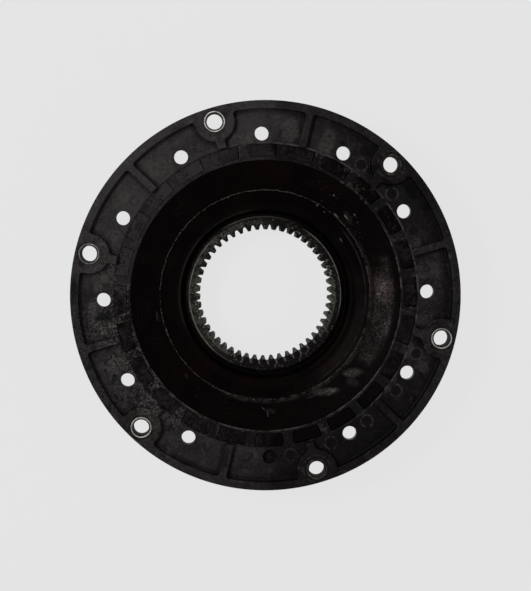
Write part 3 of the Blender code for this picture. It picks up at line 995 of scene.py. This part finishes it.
def remap(tree, value, low, high, to_low=0.0, to_high=1.0):
    """Smooth step of a value between two limits."""
    return add(tree, "MapRange", {"Value": value, "From Min": low, "From Max": high,
                                  "To Min": to_low, "To Max": to_high},
               interpolation_type="SMOOTHSTEP").outputs["Result"]


def line_mask(tree, value, middle, reach):
    """Mask of a narrow band of values about a middle."""
    away = maths(tree, "ABSOLUTE", maths(tree, "SUBTRACT", value, middle))
    return remap(tree, away, reach, reach / 3)


def object_place(tree):
    """Place on the piece, which is the place on the part."""
    return add(tree, "TexCoord").outputs["Object"]


def noise_value(tree, place, scale, detail=4.0, roughness=0.55, distortion=0.0):
    """Value of a noise texture."""
    return add(tree, "TexNoise", {"Vector": place, "Scale": scale, "Detail": detail,
                                  "Roughness": roughness,
                                  "Distortion": distortion}).outputs[0]


def clouds(tree, scale, span, level=(0.0, 1.0), **settings):
    """Noise on the piece, with a span of its values spread over a level."""
    return remap(tree, noise_value(tree, object_place(tree), scale, **settings), *span, *level)


def about_axis(tree):
    """Flat place, distance from the axis, bearing about it, and height."""
    parts = add(tree, "SeparateXYZ", {0: object_place(tree)}).outputs
    flat = add(tree, "CombineXYZ", {"X": parts["X"], "Y": parts["Y"]}).outputs[0]
    bearing = maths(tree, "ARCTAN2", parts["Y"], parts["X"])
    return flat, size_of(tree, flat), bearing, parts["Z"]


def new_group(name, **defaults):
    """A shader node group with an input for each default, and those inputs' sockets."""
    group = bpy.data.node_groups.new(name, "ShaderNodeTree")
    for label, default in defaults.items():
        kind = "NodeSocketFloat" if isinstance(default, float) else "NodeSocketVector"
        socket = group.interface.new_socket(name=label.capitalize(), in_out="INPUT",
                                            socket_type=kind)
        socket.default_value = default
    return group, group.nodes.new("NodeGroupInput").outputs


def end_group(group, **results):
    """Give a node group an output for each result, and return the group."""
    for label in results:
        group.interface.new_socket(name=label.capitalize(), in_out="OUTPUT",
                                   socket_type="NodeSocketFloat")
    end = group.nodes.new("NodeGroupOutput")
    for label, value in results.items():
        group.links.new(value, end.inputs[label.capitalize()])
    return group


def use_group(tree, group, output=0, **inputs):
    """Place a node group, set its inputs, and return one of its outputs."""
    node = tree.nodes.new("ShaderNodeGroup")
    node.node_tree = group
    for key, value in inputs.items():
        node.inputs[key.capitalize()].default_value = value
    return node.outputs[output]


@cache
def side_group():
    """Mask of one side of the part, between two angles about the axis."""
    group, inputs = new_group("Side of the part", bearing=0.0, reach=60.0, softness=20.0,
                              ripple=12.0)
    bearing = about_axis(group)[2]
    turn = maths(group, "SUBTRACT", bearing, maths(group, "RADIANS", inputs["Bearing"]))
    away = maths(group, "DEGREES", maths(group, "ARCCOSINE", maths(group, "COSINE", turn)))
    ripple = maths(group, "SUBTRACT", noise_value(group, object_place(group), 45.0, 5.0), 0.5)
    away = maths(group, "ADD", away, times(group, ripple, inputs["Ripple"], 4.0))
    near = maths(group, "SUBTRACT", inputs["Reach"], inputs["Softness"])
    far = maths(group, "ADD", inputs["Reach"], inputs["Softness"])
    return end_group(group, mask=remap(group, away, far, near))


@cache
def patch_group():
    """Mask of one ragged oval patch."""
    group, inputs = new_group("Ragged patch", centre=(0.0, 0.0, 0.0), turn=(0.0, 0.0, 0.0),
                              size=(0.01, 0.005, 0.05), raggedness=0.6, fade=0.35, streaks=0.0)
    place = object_place(group)
    local = add(group, "Mapping", {"Vector": place, "Location": inputs["Centre"],
                                   "Rotation": inputs["Turn"], "Scale": inputs["Size"]},
                vector_type="TEXTURE").outputs[0]
    rag = maths(group, "SUBTRACT", noise_value(group, place, 190.0, 6.0, 0.7), 0.5)
    rag = times(group, rag, inputs["Raggedness"], 3.0)
    spot = remap(group, maths(group, "ADD", size_of(group, local), rag), 1.1,
                 maths(group, "SUBTRACT", 1.1, inputs["Fade"]))
    lines = vector_maths(group, "MULTIPLY", local, (1.3, 9.0, 1.0))
    lines = remap(group, noise_value(group, lines, 1.0, 3.0, 0.6, 0.6), 0.4, 0.6)
    gaps = times(group, lines, inputs["Streaks"])
    return end_group(group, mask=times(group, spot, inverse(group, gaps)))


@cache
def axis_group():
    """Distance from the axis and height, as values for other masks."""
    group, _ = new_group("Radius and height")
    _, radius, _, height = about_axis(group)
    return end_group(group, radius=radius, height=height)


@cache
def marks_group():
    """Distance to the nearest of some points spaced evenly on a circle."""
    group, inputs = new_group("Even marks", count=12.0, first=0.0, circle=0.1)
    _, radius, bearing, _ = about_axis(group)
    step = maths(group, "DIVIDE", math.tau, inputs["Count"])
    turn = maths(group, "SUBTRACT", bearing, maths(group, "RADIANS", inputs["First"]))
    nearest = maths(group, "ROUND", maths(group, "DIVIDE", turn, step))
    turn = maths(group, "SUBTRACT", turn, times(group, nearest, step))
    away = add(group, "CombineXYZ", {"X": times(group, turn, radius),
                                     "Y": maths(group, "SUBTRACT", radius, inputs["Circle"])})
    return end_group(group, distance=size_of(group, away.outputs[0]))


@cache
def streak_group():
    """Streaks that run round the axis, as a mask."""
    group, inputs = new_group("Streaks round the axis", along=12.0, across=900.0, amount=0.5)
    flat, radius, _, _ = about_axis(group)
    round_axis = add(group, "VectorMath", {0: vector_maths(group, "NORMALIZE", flat),
                                           "Scale": inputs["Along"]}, operation="SCALE")
    across = add(group, "CombineXYZ", {"Z": times(group, radius, inputs["Across"])})
    place = vector_maths(group, "ADD", round_axis.outputs[0], across.outputs[0])
    limit = maths(group, "SUBTRACT", 0.8, times(group, inputs["Amount"], 0.5))
    return end_group(group, mask=remap(group, noise_value(group, place, 1.0, 5.0, 0.65), limit,
                                       maths(group, "ADD", limit, 0.15)))


@cache
def film_group():
    """How dry the plastic is: dusty at the upper left and oily at the right."""
    group, _ = new_group("Dry and oily sides")
    dryness = most(group, sides(group, DRY_SIDES), LEAST_DRYNESS)
    broad = clouds(group, 42.0, (0.3, 0.7), (0.6, 1.35), roughness=0.5, distortion=1.5)
    blots = clouds(group, 150.0, (0.3, 0.7), (0.45, 1.5), detail=7.0, roughness=0.7,
                   distortion=2.5)
    return end_group(group, dryness=times(group, dryness, broad, blots))


@cache
def grain_group():
    """Fine grain of a moulded surface, as a height."""
    group, inputs = new_group("Moulded grain", fine=1.0)
    place = object_place(group)
    fine = times(group, noise_value(group, place, 1400.0, 3.0), inputs["Fine"])
    coarse = noise_value(group, place, 260.0, 5.0, 0.6)
    return end_group(group, height=maths(group, "ADD", fine, coarse))


@cache
def speck_group():
    """Specks of dust or pits, as a mask."""
    group, inputs = new_group("Specks", scale=500.0, amount=0.4)
    place = object_place(group)
    cells = noise_value(group, place, inputs["Scale"], 3.0, 0.75)
    crowding = maths(group, "SUBTRACT", noise_value(group, place, 60.0, 3.0), 0.5)
    level = maths(group, "ADD", cells, times(group, crowding, 0.5))
    limit = maths(group, "SUBTRACT", 0.75, times(group, inputs["Amount"], 0.4))
    return end_group(group, mask=remap(group, level, limit, maths(group, "ADD", limit, 0.07)))


@cache
def worn_and_highlit_edge_group():
    """Mask of the rounded edges, where wear shows and a painted highlight is laid."""
    group, inputs = new_group("Worn and highlit edges", radius=0.0006, softness=0.25)
    rounded = add(group, "Bevel", {"Radius": inputs["Radius"]}, samples=4).outputs[0]
    true_normal = add(group, "NewGeometry").outputs["Normal"]
    along = add(group, "VectorMath", {0: rounded, 1: true_normal},
                operation="DOT_PRODUCT").outputs["Value"]
    return end_group(group, mask=remap(group, along, 0.99, inverse(group, inputs["Softness"])))


@cache
def corner_dirt_and_shade_group():
    """Mask of the inner corners, from occlusion, where dirt and oil gather and painted shade is
    laid.
    """
    group, inputs = new_group("Dirt and shade in corners", reach=0.003, open=0.95, closed=0.5)
    light = add(group, "AmbientOcclusion", {"Distance": inputs["Reach"]}, samples=8,
                only_local=True).outputs["AO"]
    return end_group(group, mask=remap(group, light, inputs["Open"], inputs["Closed"]))


def side(tree, bearing, reach, softness=20.0, ripple=12.0):
    """Mask of one side of the part, about a bearing. All are in degrees."""
    return use_group(tree, side_group(), bearing=bearing, reach=reach, softness=softness,
                     ripple=ripple)


def sides(tree, places):
    """Greatest mask of some sides of the part, each with its strength."""
    return most(tree, *(times(tree, side(tree, *place), strength) for *place, strength in places))


def specks(tree, scale, amount):
    """Mask of specks."""
    return use_group(tree, speck_group(), scale=scale, amount=amount)


def streaks(tree, along, across, amount):
    """Mask of streaks round the axis."""
    return use_group(tree, streak_group(), along=along, across=across, amount=amount)


def even_marks(tree, bearings, circle):
    """Distance to the nearest of some places at even bearings on a circle."""
    return use_group(tree, marks_group(), count=float(len(bearings)),
                     first=math.degrees(bearings[0]), circle=circle)


def patches(tree, places, fade=0.35, streaking=0.0):
    """Greatest mask of some ragged patches, each placed about the axis."""
    masks = []
    for bearing, radius, turn, long, wide, strength in places:
        spot = use_group(tree, patch_group(),
                         centre=(*polar(radius * MM, math.radians(bearing)), 0.0),
                         turn=(0.0, 0.0, math.radians(bearing + turn)),
                         size=(long * MM, wide * MM, 1.0), fade=fade, streaks=streaking)
        masks.append(times(tree, spot, strength))
    return most(tree, 0.0, *masks)


def new_material(name, roughness, specular, metallic=0.0):
    """A Principled material with the values that are even all over."""
    material = bpy.data.materials.new(name)
    material.use_nodes = True
    tree = material.node_tree
    shader = tree.nodes["Principled BSDF"]
    shader.inputs["Roughness"].default_value = roughness
    shader.inputs["Specular IOR Level"].default_value = specular
    shader.inputs["Metallic"].default_value = metallic
    return material, tree, shader


def rgba(value):
    """A colour with full opacity."""
    return (*value, 1.0)


def paint(tree, shader, ground, *layers):
    """Lay colours over a ground, each through its mask, and feed the shader's colour."""
    base = rgba(ground)
    for mask, over in layers:
        base = add(tree, "Mix", {0: mask, 6: base, 7: rgba(over)}, data_type="RGBA").outputs[2]
    tree.links.new(base, shader.inputs["Base Color"])


def roughen(tree, shader, mask, clear, covered):
    """Feed the shader's roughness, which a mask changes."""
    tree.links.new(remap(tree, mask, 0.0, 1.0, clear, covered), shader.inputs["Roughness"])


def grain(tree, shader, fine, distance, strength):
    """Feed the grain of a moulded surface to the shader's normal."""
    height = use_group(tree, grain_group(), "Height", fine=fine)
    node = add(tree, "Bump", {"Height": height, "Distance": distance, "Strength": strength})
    tree.links.new(node.outputs[0], shader.inputs["Normal"])


def flange_places(tree, plan):
    """Values and masks of places that the flange's oil and dust share."""
    places = SimpleNamespace()
    places.radius = use_group(tree, axis_group(), "Radius")
    places.height = use_group(tree, axis_group(), "Height")
    places.below = remap(tree, places.height, plan.front - 0.6 * MM, plan.front - 2.0 * MM)
    places.left = side(tree, 207.0, 33.0, 9.0, 16.0)
    places.right = side(tree, 352.0, 78.0, 12.0, 6.0)
    places.upper_left = side(tree, 133.0, 49.0, 8.0)
    places.rest = inverse(tree, places.upper_left)
    places.bolts = even_marks(tree, plan.boss_angles, plan.bolt_radius)
    places.band = times(tree, remap(tree, places.radius, plan.pocket_inner + 0.3 * MM,
                                    plan.pocket_inner - 0.3 * MM),
                        remap(tree, places.upper_left, 0.0, 1.0, 0.92, 0.56))

    pins = even_marks(tree, plan.pin_angles, plan.hole_radius)
    pin_radius = plan.flange.pin_diameter / 2
    clear = times(tree, most(tree, clouds(tree, 21.0, (0.40, 0.54), (0.0, 0.5), detail=1.0),
                             sides(tree, CLEAR_PINS)), places.below)
    places.pin_disc = times(tree, remap(tree, pins, pin_radius + 0.3 * MM,
                                        pin_radius - 0.6 * MM), clear)
    places.pin_ring = times(tree, line_mask(tree, pins, pin_radius + 0.8 * MM, 0.9 * MM), clear)
    return places


def flange_oil_and_shade(tree, plan, places):
    """Oil and painted shade on the flange: oil on the band, a darker band inside the outer walls at
    the right, oil round the bosses, dirt and painted shade in the corners, oil at the lower right
    and on the pin marks.
    """
    # A darker band inside the pockets' outer walls at the right.
    walls = times(tree, remap(tree, places.radius, plan.pocket_outer - 7.5 * MM,
                              plan.pocket_outer - 3.5 * MM),
                  remap(tree, places.radius, plan.pocket_outer + 1.0 * MM, plan.pocket_outer),
                  places.below, places.right)
    bosses = remap(tree, places.bolts, plan.bush_radius + 3.4 * MM, plan.bush_radius + 0.6 * MM)
    # Dirt and painted shade, darker where the corners occlude.
    corners = times(tree, use_group(tree, corner_dirt_and_shade_group(), reach=4.6 * MM, open=0.94, closed=0.62),
                    inverse(tree, times(tree, places.band, places.upper_left)))
    return most(tree, places.band,
                times(tree, walls, 0.7),
                times(tree, bosses, 0.45),
                times(tree, corners, 0.9),
                times(tree, places.below, side(tree, 308.0, 27.0, 6.0, 8.0), 0.55),
                times(tree, places.pin_disc, places.rest, 0.8),
                times(tree, places.pin_ring, places.upper_left, 0.4))


def flange_dust_and_highlights(tree, plan, places, dryness):
    """Pale dust on the flange, as specks, lines, smears, crumbs, grazes and worn edges, with
    painted highlights on the rounded edges, the ledge and the hoop.
    """
    ragged = clouds(tree, 330.0, (0.4, 0.62), roughness=0.7)
    chalk = times(tree, specks(tree, 700.0, 0.62), places.left,
                  remap(tree, places.radius, plan.pocket_outer - 4.0 * MM,
                        plan.hole_radius + 3.0 * MM, 0.15, 0.8))
    # Dust and a painted highlight on the hoop's rounded inner edge.
    hoop = times(tree, line_mask(tree, places.radius, plan.hoop_inner + 0.5 * MM, 0.8 * MM),
                 clouds(tree, 150.0, (0.4, 0.6), (0.05, 0.6)),
                 remap(tree, places.height, plan.back + 4.0 * MM, plan.back + 5.0 * MM),
                 side(tree, 295.0, 100.0, 12.0, 10.0))
    # Painted highlight along the rounded inner edge of the pockets, at the right.
    ledge = times(tree, line_mask(tree, places.radius, plan.pocket_inner, 0.8 * MM),
                  clouds(tree, 120.0, (0.4, 0.58), (0.0, 0.65)),
                  side(tree, 20.0, 75.0, 15.0, 10.0), places.below)
    smears = times(tree, clouds(tree, 80.0, (0.56, 0.72), detail=6.0, roughness=0.6,
                                distortion=3.0),
                   remap(tree, dryness, 0.0, 1.0, 0.1, 0.4))
    crumbs = times(tree, specks(tree, 330.0, 0.48), places.band,
                   clouds(tree, 70.0, (0.35, 0.6), (0.1, 0.6), detail=3.0),
                   remap(tree, side(tree, 50.0, 24.0), 0.0, 1.0, 0.5, 1.0))
    grazes = times(tree, streaks(tree, 26.0, 420.0, 0.55),
                   remap(tree, places.below, 1.0, 0.0, 0.0, 0.4), places.right,
                   clouds(tree, 90.0, (0.42, 0.62), detail=3.0))
    rings = times(tree, line_mask(tree, places.bolts, plan.bush_radius + 2.1 * MM, 0.9 * MM),
                  places.rest, ragged, 0.22)
    smudges = times(tree, patches(tree, FLANGE_SMUDGES),
                    clouds(tree, 420.0, (0.35, 0.62), (0.15, 1.0), detail=5.0, roughness=0.7,
                           distortion=1.0))
    # Wear and painted highlights along the rounded edges.
    edges = times(tree, use_group(tree, worn_and_highlit_edge_group(), radius=0.5 * MM),
                  clouds(tree, 210.0, (0.4, 0.6), (0.15, 0.6)),
                  remap(tree, dryness, 0.0, 0.6, 0.5, 1.0))
    return most(tree, chalk, hoop, ledge, smears, crumbs, grazes, rings, smudges, edges,
                times(tree, places.pin_disc, places.upper_left, 0.3),
                times(tree, places.pin_ring, places.rest, ragged, 0.4))


def flange_material(finish, plan):
    """Glass-filled polyamide, dusty at the upper left and oily at the right."""
    material, tree, shader = new_material("glass_filled_polyamide", 0.6, 0.03)
    places = flange_places(tree, plan)
    # The oil and the painted shade in the corners lower the dryness.
    dryness = times(tree, use_group(tree, film_group()),
                    inverse(tree, flange_oil_and_shade(tree, plan, places)))
    pits = times(tree, specks(tree, 610.0, 0.5), remap(tree, places.left, 0.0, 1.0, 0.35, 0.95))
    grime = times(tree, clouds(tree, 165.0, (0.5, 0.62), detail=7.0, roughness=0.72,
                               distortion=1.5),
                  most(tree, places.left, times(tree, places.right, 0.85)), 0.8)
    paint(tree, shader, finish.plastic_oiled,
          (dryness, finish.plastic_dry),
          (patches(tree, BROWN_STAINS, 0.8), finish.rust),
          # Pale dust and painted highlights
          (flange_dust_and_highlights(tree, plan, places, dryness), finish.plastic_chalk_and_highlight),
          (pits, finish.plastic_oiled),
          (most(tree, grime, patches(tree, OIL_POOLS, 0.6)), finish.grime))
    roughen(tree, shader, dryness, 0.36, 0.72)
    grain(tree, shader, 0.4, 0.3 * MM, 0.7)
    return material


def rubber_dust_and_sheen(tree, plan, radius, studs, outer):
    """Pale dust on the rubber, as a patch of dust and painted sheen, streaks, scuffs, crumbs and
    lines round the axis.
    """
    # Dust and painted sheen on the dish's right slope.
    patch = times(tree, side(tree, -9.0, 19.0, 9.0), outer,
                  remap(tree, specks(tree, 620.0, 0.8), 0.0, 1.0, 0.2, 1.3))
    inner = times(tree, line_mask(tree, radius, INNER_DUST * MM, 5.0 * MM),
                  side(tree, -28.0, 30.0, 18.0),
                  clouds(tree, 60.0, (0.3, 0.7), (0.07, 0.24)))
    lip = times(tree, line_mask(tree, radius, plan.lip_radius, 0.9 * MM),
                side(tree, 150.0, 52.0, 12.0, 10.0),
                clouds(tree, 90.0, (0.3, 0.6), (0.08, 0.4)))
    below_flash = times(tree, line_mask(tree, radius, FLASH_DUST * MM, 2.4 * MM),
                        side(tree, 325.0, 75.0, 15.0, 10.0),
                        clouds(tree, 120.0, (0.38, 0.6), (0.05, 0.5), detail=5.0,
                               roughness=0.65))
    ridge = times(tree, line_mask(tree, radius, RIDGE_DUST * MM, 0.7 * MM),
                  side(tree, -8.0, 50.0, 12.0, 10.0),
                  clouds(tree, 160.0, (0.35, 0.6), (0.15, 0.6)))
    return most(tree, patch, inner, lip, below_flash, ridge,
                times(tree, streaks(tree, 9.0, 900.0, 0.42), 0.14),
                patches(tree, DISH_SCUFFS, 0.7, 0.55),
                times(tree, specks(tree, 380.0, 0.46), studs, side(tree, 50.0, 24.0, 8.0), 0.7))


def rubber_material(finish, plan):
    """Moulded rubber with brown stains, a side lighter with dust and painted sheen, scuffs and
    dusty studs.
    """
    material, tree, shader = new_material("natural_rubber", 0.5, 0.008)
    radius = use_group(tree, axis_group(), "Radius")
    studs = remap(tree, radius, plan.hoop_inner, plan.window_inner)
    stains = times(tree, clouds(tree, 34.0, (0.42, 0.66), roughness=0.6, distortion=1.0),
                   remap(tree, studs, 0.0, 1.0, 1.0, 0.5))
    cover = times(tree, studs, remap(tree, use_group(tree, film_group()), 0.1, 0.8, 0.01, 0.85),
                  remap(tree, side(tree, 149.0, 41.0, 5.0, 6.0), 0.0, 1.0, 0.5, 1.0),
                  inverse(tree, times(tree, specks(tree, 560.0, 0.55), 0.6)))
    starts, full, fades, ends = (limit * MM for limit in DISH_DUST_AND_SHEEN)
    outer = times(tree, remap(tree, radius, starts, full), remap(tree, radius, ends, fades))
    dust = rubber_dust_and_sheen(tree, plan, radius, studs, outer)
    sparks = most(tree, patches(tree, DISH_NICKS),
                  times(tree, specks(tree, 760.0, 0.46), dust, outer, 0.7),
                  times(tree, specks(tree, 720.0, 0.25), outer, sides(tree, FLECK_SIDES), 0.45))
    paint(tree, shader, finish.rubber,
          (stains, finish.rubber_brown),
          (cover, finish.plastic_dry),
          (dust, finish.rubber_dust_and_sheen),
          (sparks, finish.flash))
    roughen(tree, shader, dust, 0.42, 0.75)
    grain(tree, shader, 0.3, 0.4 * MM, 0.6)
    return material


def flash_material(finish):
    """Ragged thin rubber edge that holds pale dust."""
    material, tree, shader = new_material("rubber_flash", 0.6, 0.05)
    pale = most(tree, times(tree, specks(tree, 380.0, 0.75), 0.3), streaks(tree, 46.0, 90.0, 0.5))
    paint(tree, shader, finish.rubber_brown, (pale, finish.flash))
    return material


def ring_material(finish, plan):
    """Used polyamide of the toothed ring, with dark oil at the right and below, painted highlights
    on some teeth, and wear with a painted highlight on the front edge.
    """
    material, tree, shader = new_material("ring_polyamide", 0.5, 0.03)
    radius = use_group(tree, axis_group(), "Radius")
    teeth = remap(tree, radius, plan.root_radius + 0.9 * MM, plan.root_radius - 0.2 * MM)
    dim = times(tree, teeth, sides(tree, DIM_TEETH))
    # Painted highlights on the teeth at the lower left and at the right.
    glint = times(tree, teeth, sides(tree, BRIGHT_TEETH))
    outer_wall = times(tree, side(tree, 93.0, 30.0, 8.0),
                       remap(tree, radius, plan.ring_front - 0.2 * MM,
                             plan.ring_front + 0.2 * MM), 0.8)
    clean = remap(tree, most(tree, sides(tree, CLEAN_RING), outer_wall), 0.0, 1.0, 0.0, 0.8)
    # The clean plastic, with the painted highlights on the teeth added.
    clean = maths(tree, "ADD", times(tree, clean, inverse(tree, dim)), glint)
    clean = times(tree, clean, clouds(tree, 95.0, (0.32, 0.68), (0.25, 1.4), detail=7.0,
                                      roughness=0.7, distortion=1.5))
    # Worn specks, brighter where the painted highlight on the teeth falls.
    worn = times(tree, specks(tree, 480.0, 0.42),
                 remap(tree, radius, plan.root_radius + 1.4 * MM, plan.root_radius, 0.25, 0.8),
                 inverse(tree, dim), remap(tree, glint, 0.0, 2.0, 1.0, 1.9))
    # Wear and a painted highlight on the ring's rounded front edge.
    edge = times(tree, line_mask(tree, radius, plan.ring_front + 0.1 * MM, 0.6 * MM),
                 sides(tree, WORN_AND_HIGHLIT_RING),
                 clouds(tree, 110.0, (0.35, 0.55), (0.3, 0.9), detail=3.0))
    shoulder = times(tree, line_mask(tree, radius, plan.ring_body - 0.4 * MM, 0.9 * MM),
                     side(tree, 93.0, 26.0, 8.0, 6.0), 0.8)
    paint(tree, shader, finish.ring_dark,
          (clean, finish.ring),
          (times(tree, specks(tree, 330.0, 0.66), 0.9), finish.ring_dark),
          (worn, finish.ring_wear_and_highlight),
          (most(tree, edge, shoulder), finish.ring_wear_and_highlight))
    grain(tree, shader, 0.3, 0.3 * MM, 0.8)
    return material


def steel_material(finish, name, dirt, plan):
    """Zinc-plated steel with painted highlights at its edges, dirt and painted shade in the bore,
    and rust over as much as its dirt says.
    """
    material, tree, shader = new_material(name, 0.45, 0.1, 1.0)
    bolts = even_marks(tree, plan.boss_angles, plan.bolt_radius)
    mouth = plan.bush.bore_diameter / 2 + plan.bush.chamfer
    # Painted highlights along the bush's outer edge and the bore's mouth.
    edge_highlights = times(tree, most(tree, line_mask(tree, bolts, plan.bush_radius - 0.45 * MM,
                                                0.55 * MM),
                                line_mask(tree, bolts, mouth + 0.55 * MM, 0.45 * MM)),
                     clouds(tree, 150.0, (0.35, 0.6), (0.3, 1.0), detail=3.0))
    # Dirt and painted shade inside the bore's mouth.
    bore = times(tree, remap(tree, bolts, mouth + 0.25 * MM, mouth - 0.1 * MM),
                 clouds(tree, 380.0, (0.4, 0.62), (1.0, 0.75), roughness=0.7))
    cover = clouds(tree, 240.0, (0.3, 0.7), (dirt - 0.25, dirt + 0.2), detail=5.0, roughness=0.7)
    rusty = maths(tree, "MAXIMUM", bore, cover, clamp=True)
    paint(tree, shader, finish.steel, (edge_highlights, finish.steel_edge_highlight), (rusty, finish.rust))
    roughen(tree, shader, rusty, 0.42, 0.8)
    tree.links.new(remap(tree, rusty, 0.0, 1.0, 1.0, 0.1), shader.inputs["Metallic"])
    return material


def seen_plainly(tree):
    """Whether a ray comes from the camera, straight or by a mirror or through glass."""
    path = add(tree, "LightPath").outputs
    return most(tree, path["Is Camera Ray"], path["Is Glossy Ray"], path["Is Transmission Ray"])


def backdrop_material(finish, shadow_share):
    """Plain pale floor that shows as its own colour and keeps a faint shadow."""
    material = bpy.data.materials.new("pale_backdrop")
    material.use_nodes = True
    tree = material.node_tree
    tree.nodes.clear()
    glow = add(tree, "Emission", {"Color": rgba(finish.backdrop), "Strength": 1.0})
    matte = add(tree, "BsdfDiffuse", {"Color": rgba(finish.backdrop)})
    factor = times(tree, seen_plainly(tree), 1.0 - shadow_share)
    shown = add(tree, "MixShader", {0: factor, 1: matte.outputs[0], 2: glow.outputs[0]})
    output = add(tree, "OutputMaterial")
    tree.links.new(shown.outputs[0], output.inputs["Surface"])
    return material


def add_lamp(name, power, target, position, size):
    """A square area lamp that points at the part."""
    lamp = bpy.data.lights.new(name, "AREA")
    lamp.energy = power
    lamp.shape = "SQUARE"
    lamp.size = size
    holder = bpy.data.objects.new(name, lamp)
    holder.location = position
    holder.rotation_euler = (Vector(position) - target).to_track_quat("Z", "Y").to_euler()
    bpy.context.scene.collection.objects.link(holder)


class COUPLING_OT_stage(bpy.types.Operator):
    """Make the pale floor, the soft lights and the camera."""

    bl_idname = "coupling.stage"
    bl_label = "Stage"

    def execute(self, context):
        scene = context.scene
        plan = layout(scene)
        stage = scene.coupling_stage
        finish = scene.coupling_finish
        target = Vector((0.0, 0.0, plan.front))

        bm = bmesh.new()
        bmesh.ops.create_grid(bm, x_segments=1, y_segments=1, size=stage.floor_size / 2)
        floor = piece_from("floor", bm)
        floor.data.materials.append(backdrop_material(finish, stage.shadow_share))

        world = bpy.data.worlds.new("even_light")
        scene.world = world
        world.use_nodes = True
        tree = world.node_tree
        even = tree.nodes["Background"]
        even.inputs["Color"].default_value = (1.0, 1.0, 1.0, 1.0)
        even.inputs["Strength"].default_value = stage.world_level
        seen = add(tree, "Background", {"Color": rgba(finish.backdrop), "Strength": 1.0})
        shown = add(tree, "MixShader", {0: seen_plainly(tree), 1: even.outputs[0],
                                        2: seen.outputs[0]})
        tree.links.new(shown.outputs[0], tree.nodes["World Output"].inputs["Surface"])

        add_lamp("key_lamp", stage.key_power, target, *KEY_LAMP)
        add_lamp("fill_lamp", stage.fill_power, target, *FILL_LAMP)

        camera = bpy.data.cameras.new("camera")
        holder = bpy.data.objects.new("camera", camera)
        scene.collection.objects.link(holder)
        towards = Vector((math.tan(stage.tilt_x), math.tan(stage.tilt_y), 1.0)).normalized()
        across = Vector((0.0, 1.0, 0.0)).cross(towards).normalized()
        upwards = towards.cross(across)
        holder.location = target + towards * stage.distance
        holder.rotation_euler = Matrix((across, upwards, towards)).transposed().to_euler()
        camera.sensor_fit = "HORIZONTAL"
        focal_pixels = stage.pixel_radius / plan.outer_radius * stage.distance
        camera.lens = camera.sensor_width * focal_pixels / IMAGE_WIDTH
        camera.shift_x = -stage.pixel_x / IMAGE_WIDTH
        camera.shift_y = stage.pixel_y / IMAGE_WIDTH
        scene.camera = holder
        scene.view_settings.view_transform = "Standard"
        return {"FINISHED"}


class COUPLING_PT_panel(bpy.types.Panel):
    """Lists the pieces of the coupling."""

    bl_idname = "COUPLING_PT_panel"
    bl_label = "Elastic Coupling"
    bl_space_type = "VIEW_3D"
    bl_region_type = "UI"
    bl_category = "Coupling"

    def draw(self, context):
        for operator in OPERATORS:
            self.layout.operator(operator.bl_idname)


GROUPS = {
    "coupling_flange": FlangeSizes,
    "coupling_bush": BushSizes,
    "coupling_rubber": RubberSizes,
    "coupling_ring": RingSizes,
    "coupling_finish": Finish,
    "coupling_stage": StageSettings,
}
OPERATORS = (COUPLING_OT_flange, COUPLING_OT_bushes, COUPLING_OT_rubber, COUPLING_OT_ring,
             COUPLING_OT_stage)


def register():
    """Register the classes and add their properties to the scene."""
    for item in (*GROUPS.values(), *OPERATORS, COUPLING_PT_panel):
        bpy.utils.register_class(item)
    for name, group in GROUPS.items():
        setattr(bpy.types.Scene, name, PointerProperty(type=group))


def unregister():
    """Remove the properties and the classes."""
    for name in GROUPS:
        delattr(bpy.types.Scene, name)
    for item in (COUPLING_PT_panel, *reversed(OPERATORS), *reversed(GROUPS.values())):
        bpy.utils.unregister_class(item)


def main():
    """Make every piece and the stage."""
    register()
    bpy.ops.coupling.flange()
    bpy.ops.coupling.bushes()
    bpy.ops.coupling.rubber()
    bpy.ops.coupling.ring()
    bpy.ops.coupling.stage()
    bpy.context.view_layer.update()


if __name__ == "__main__":
    main()
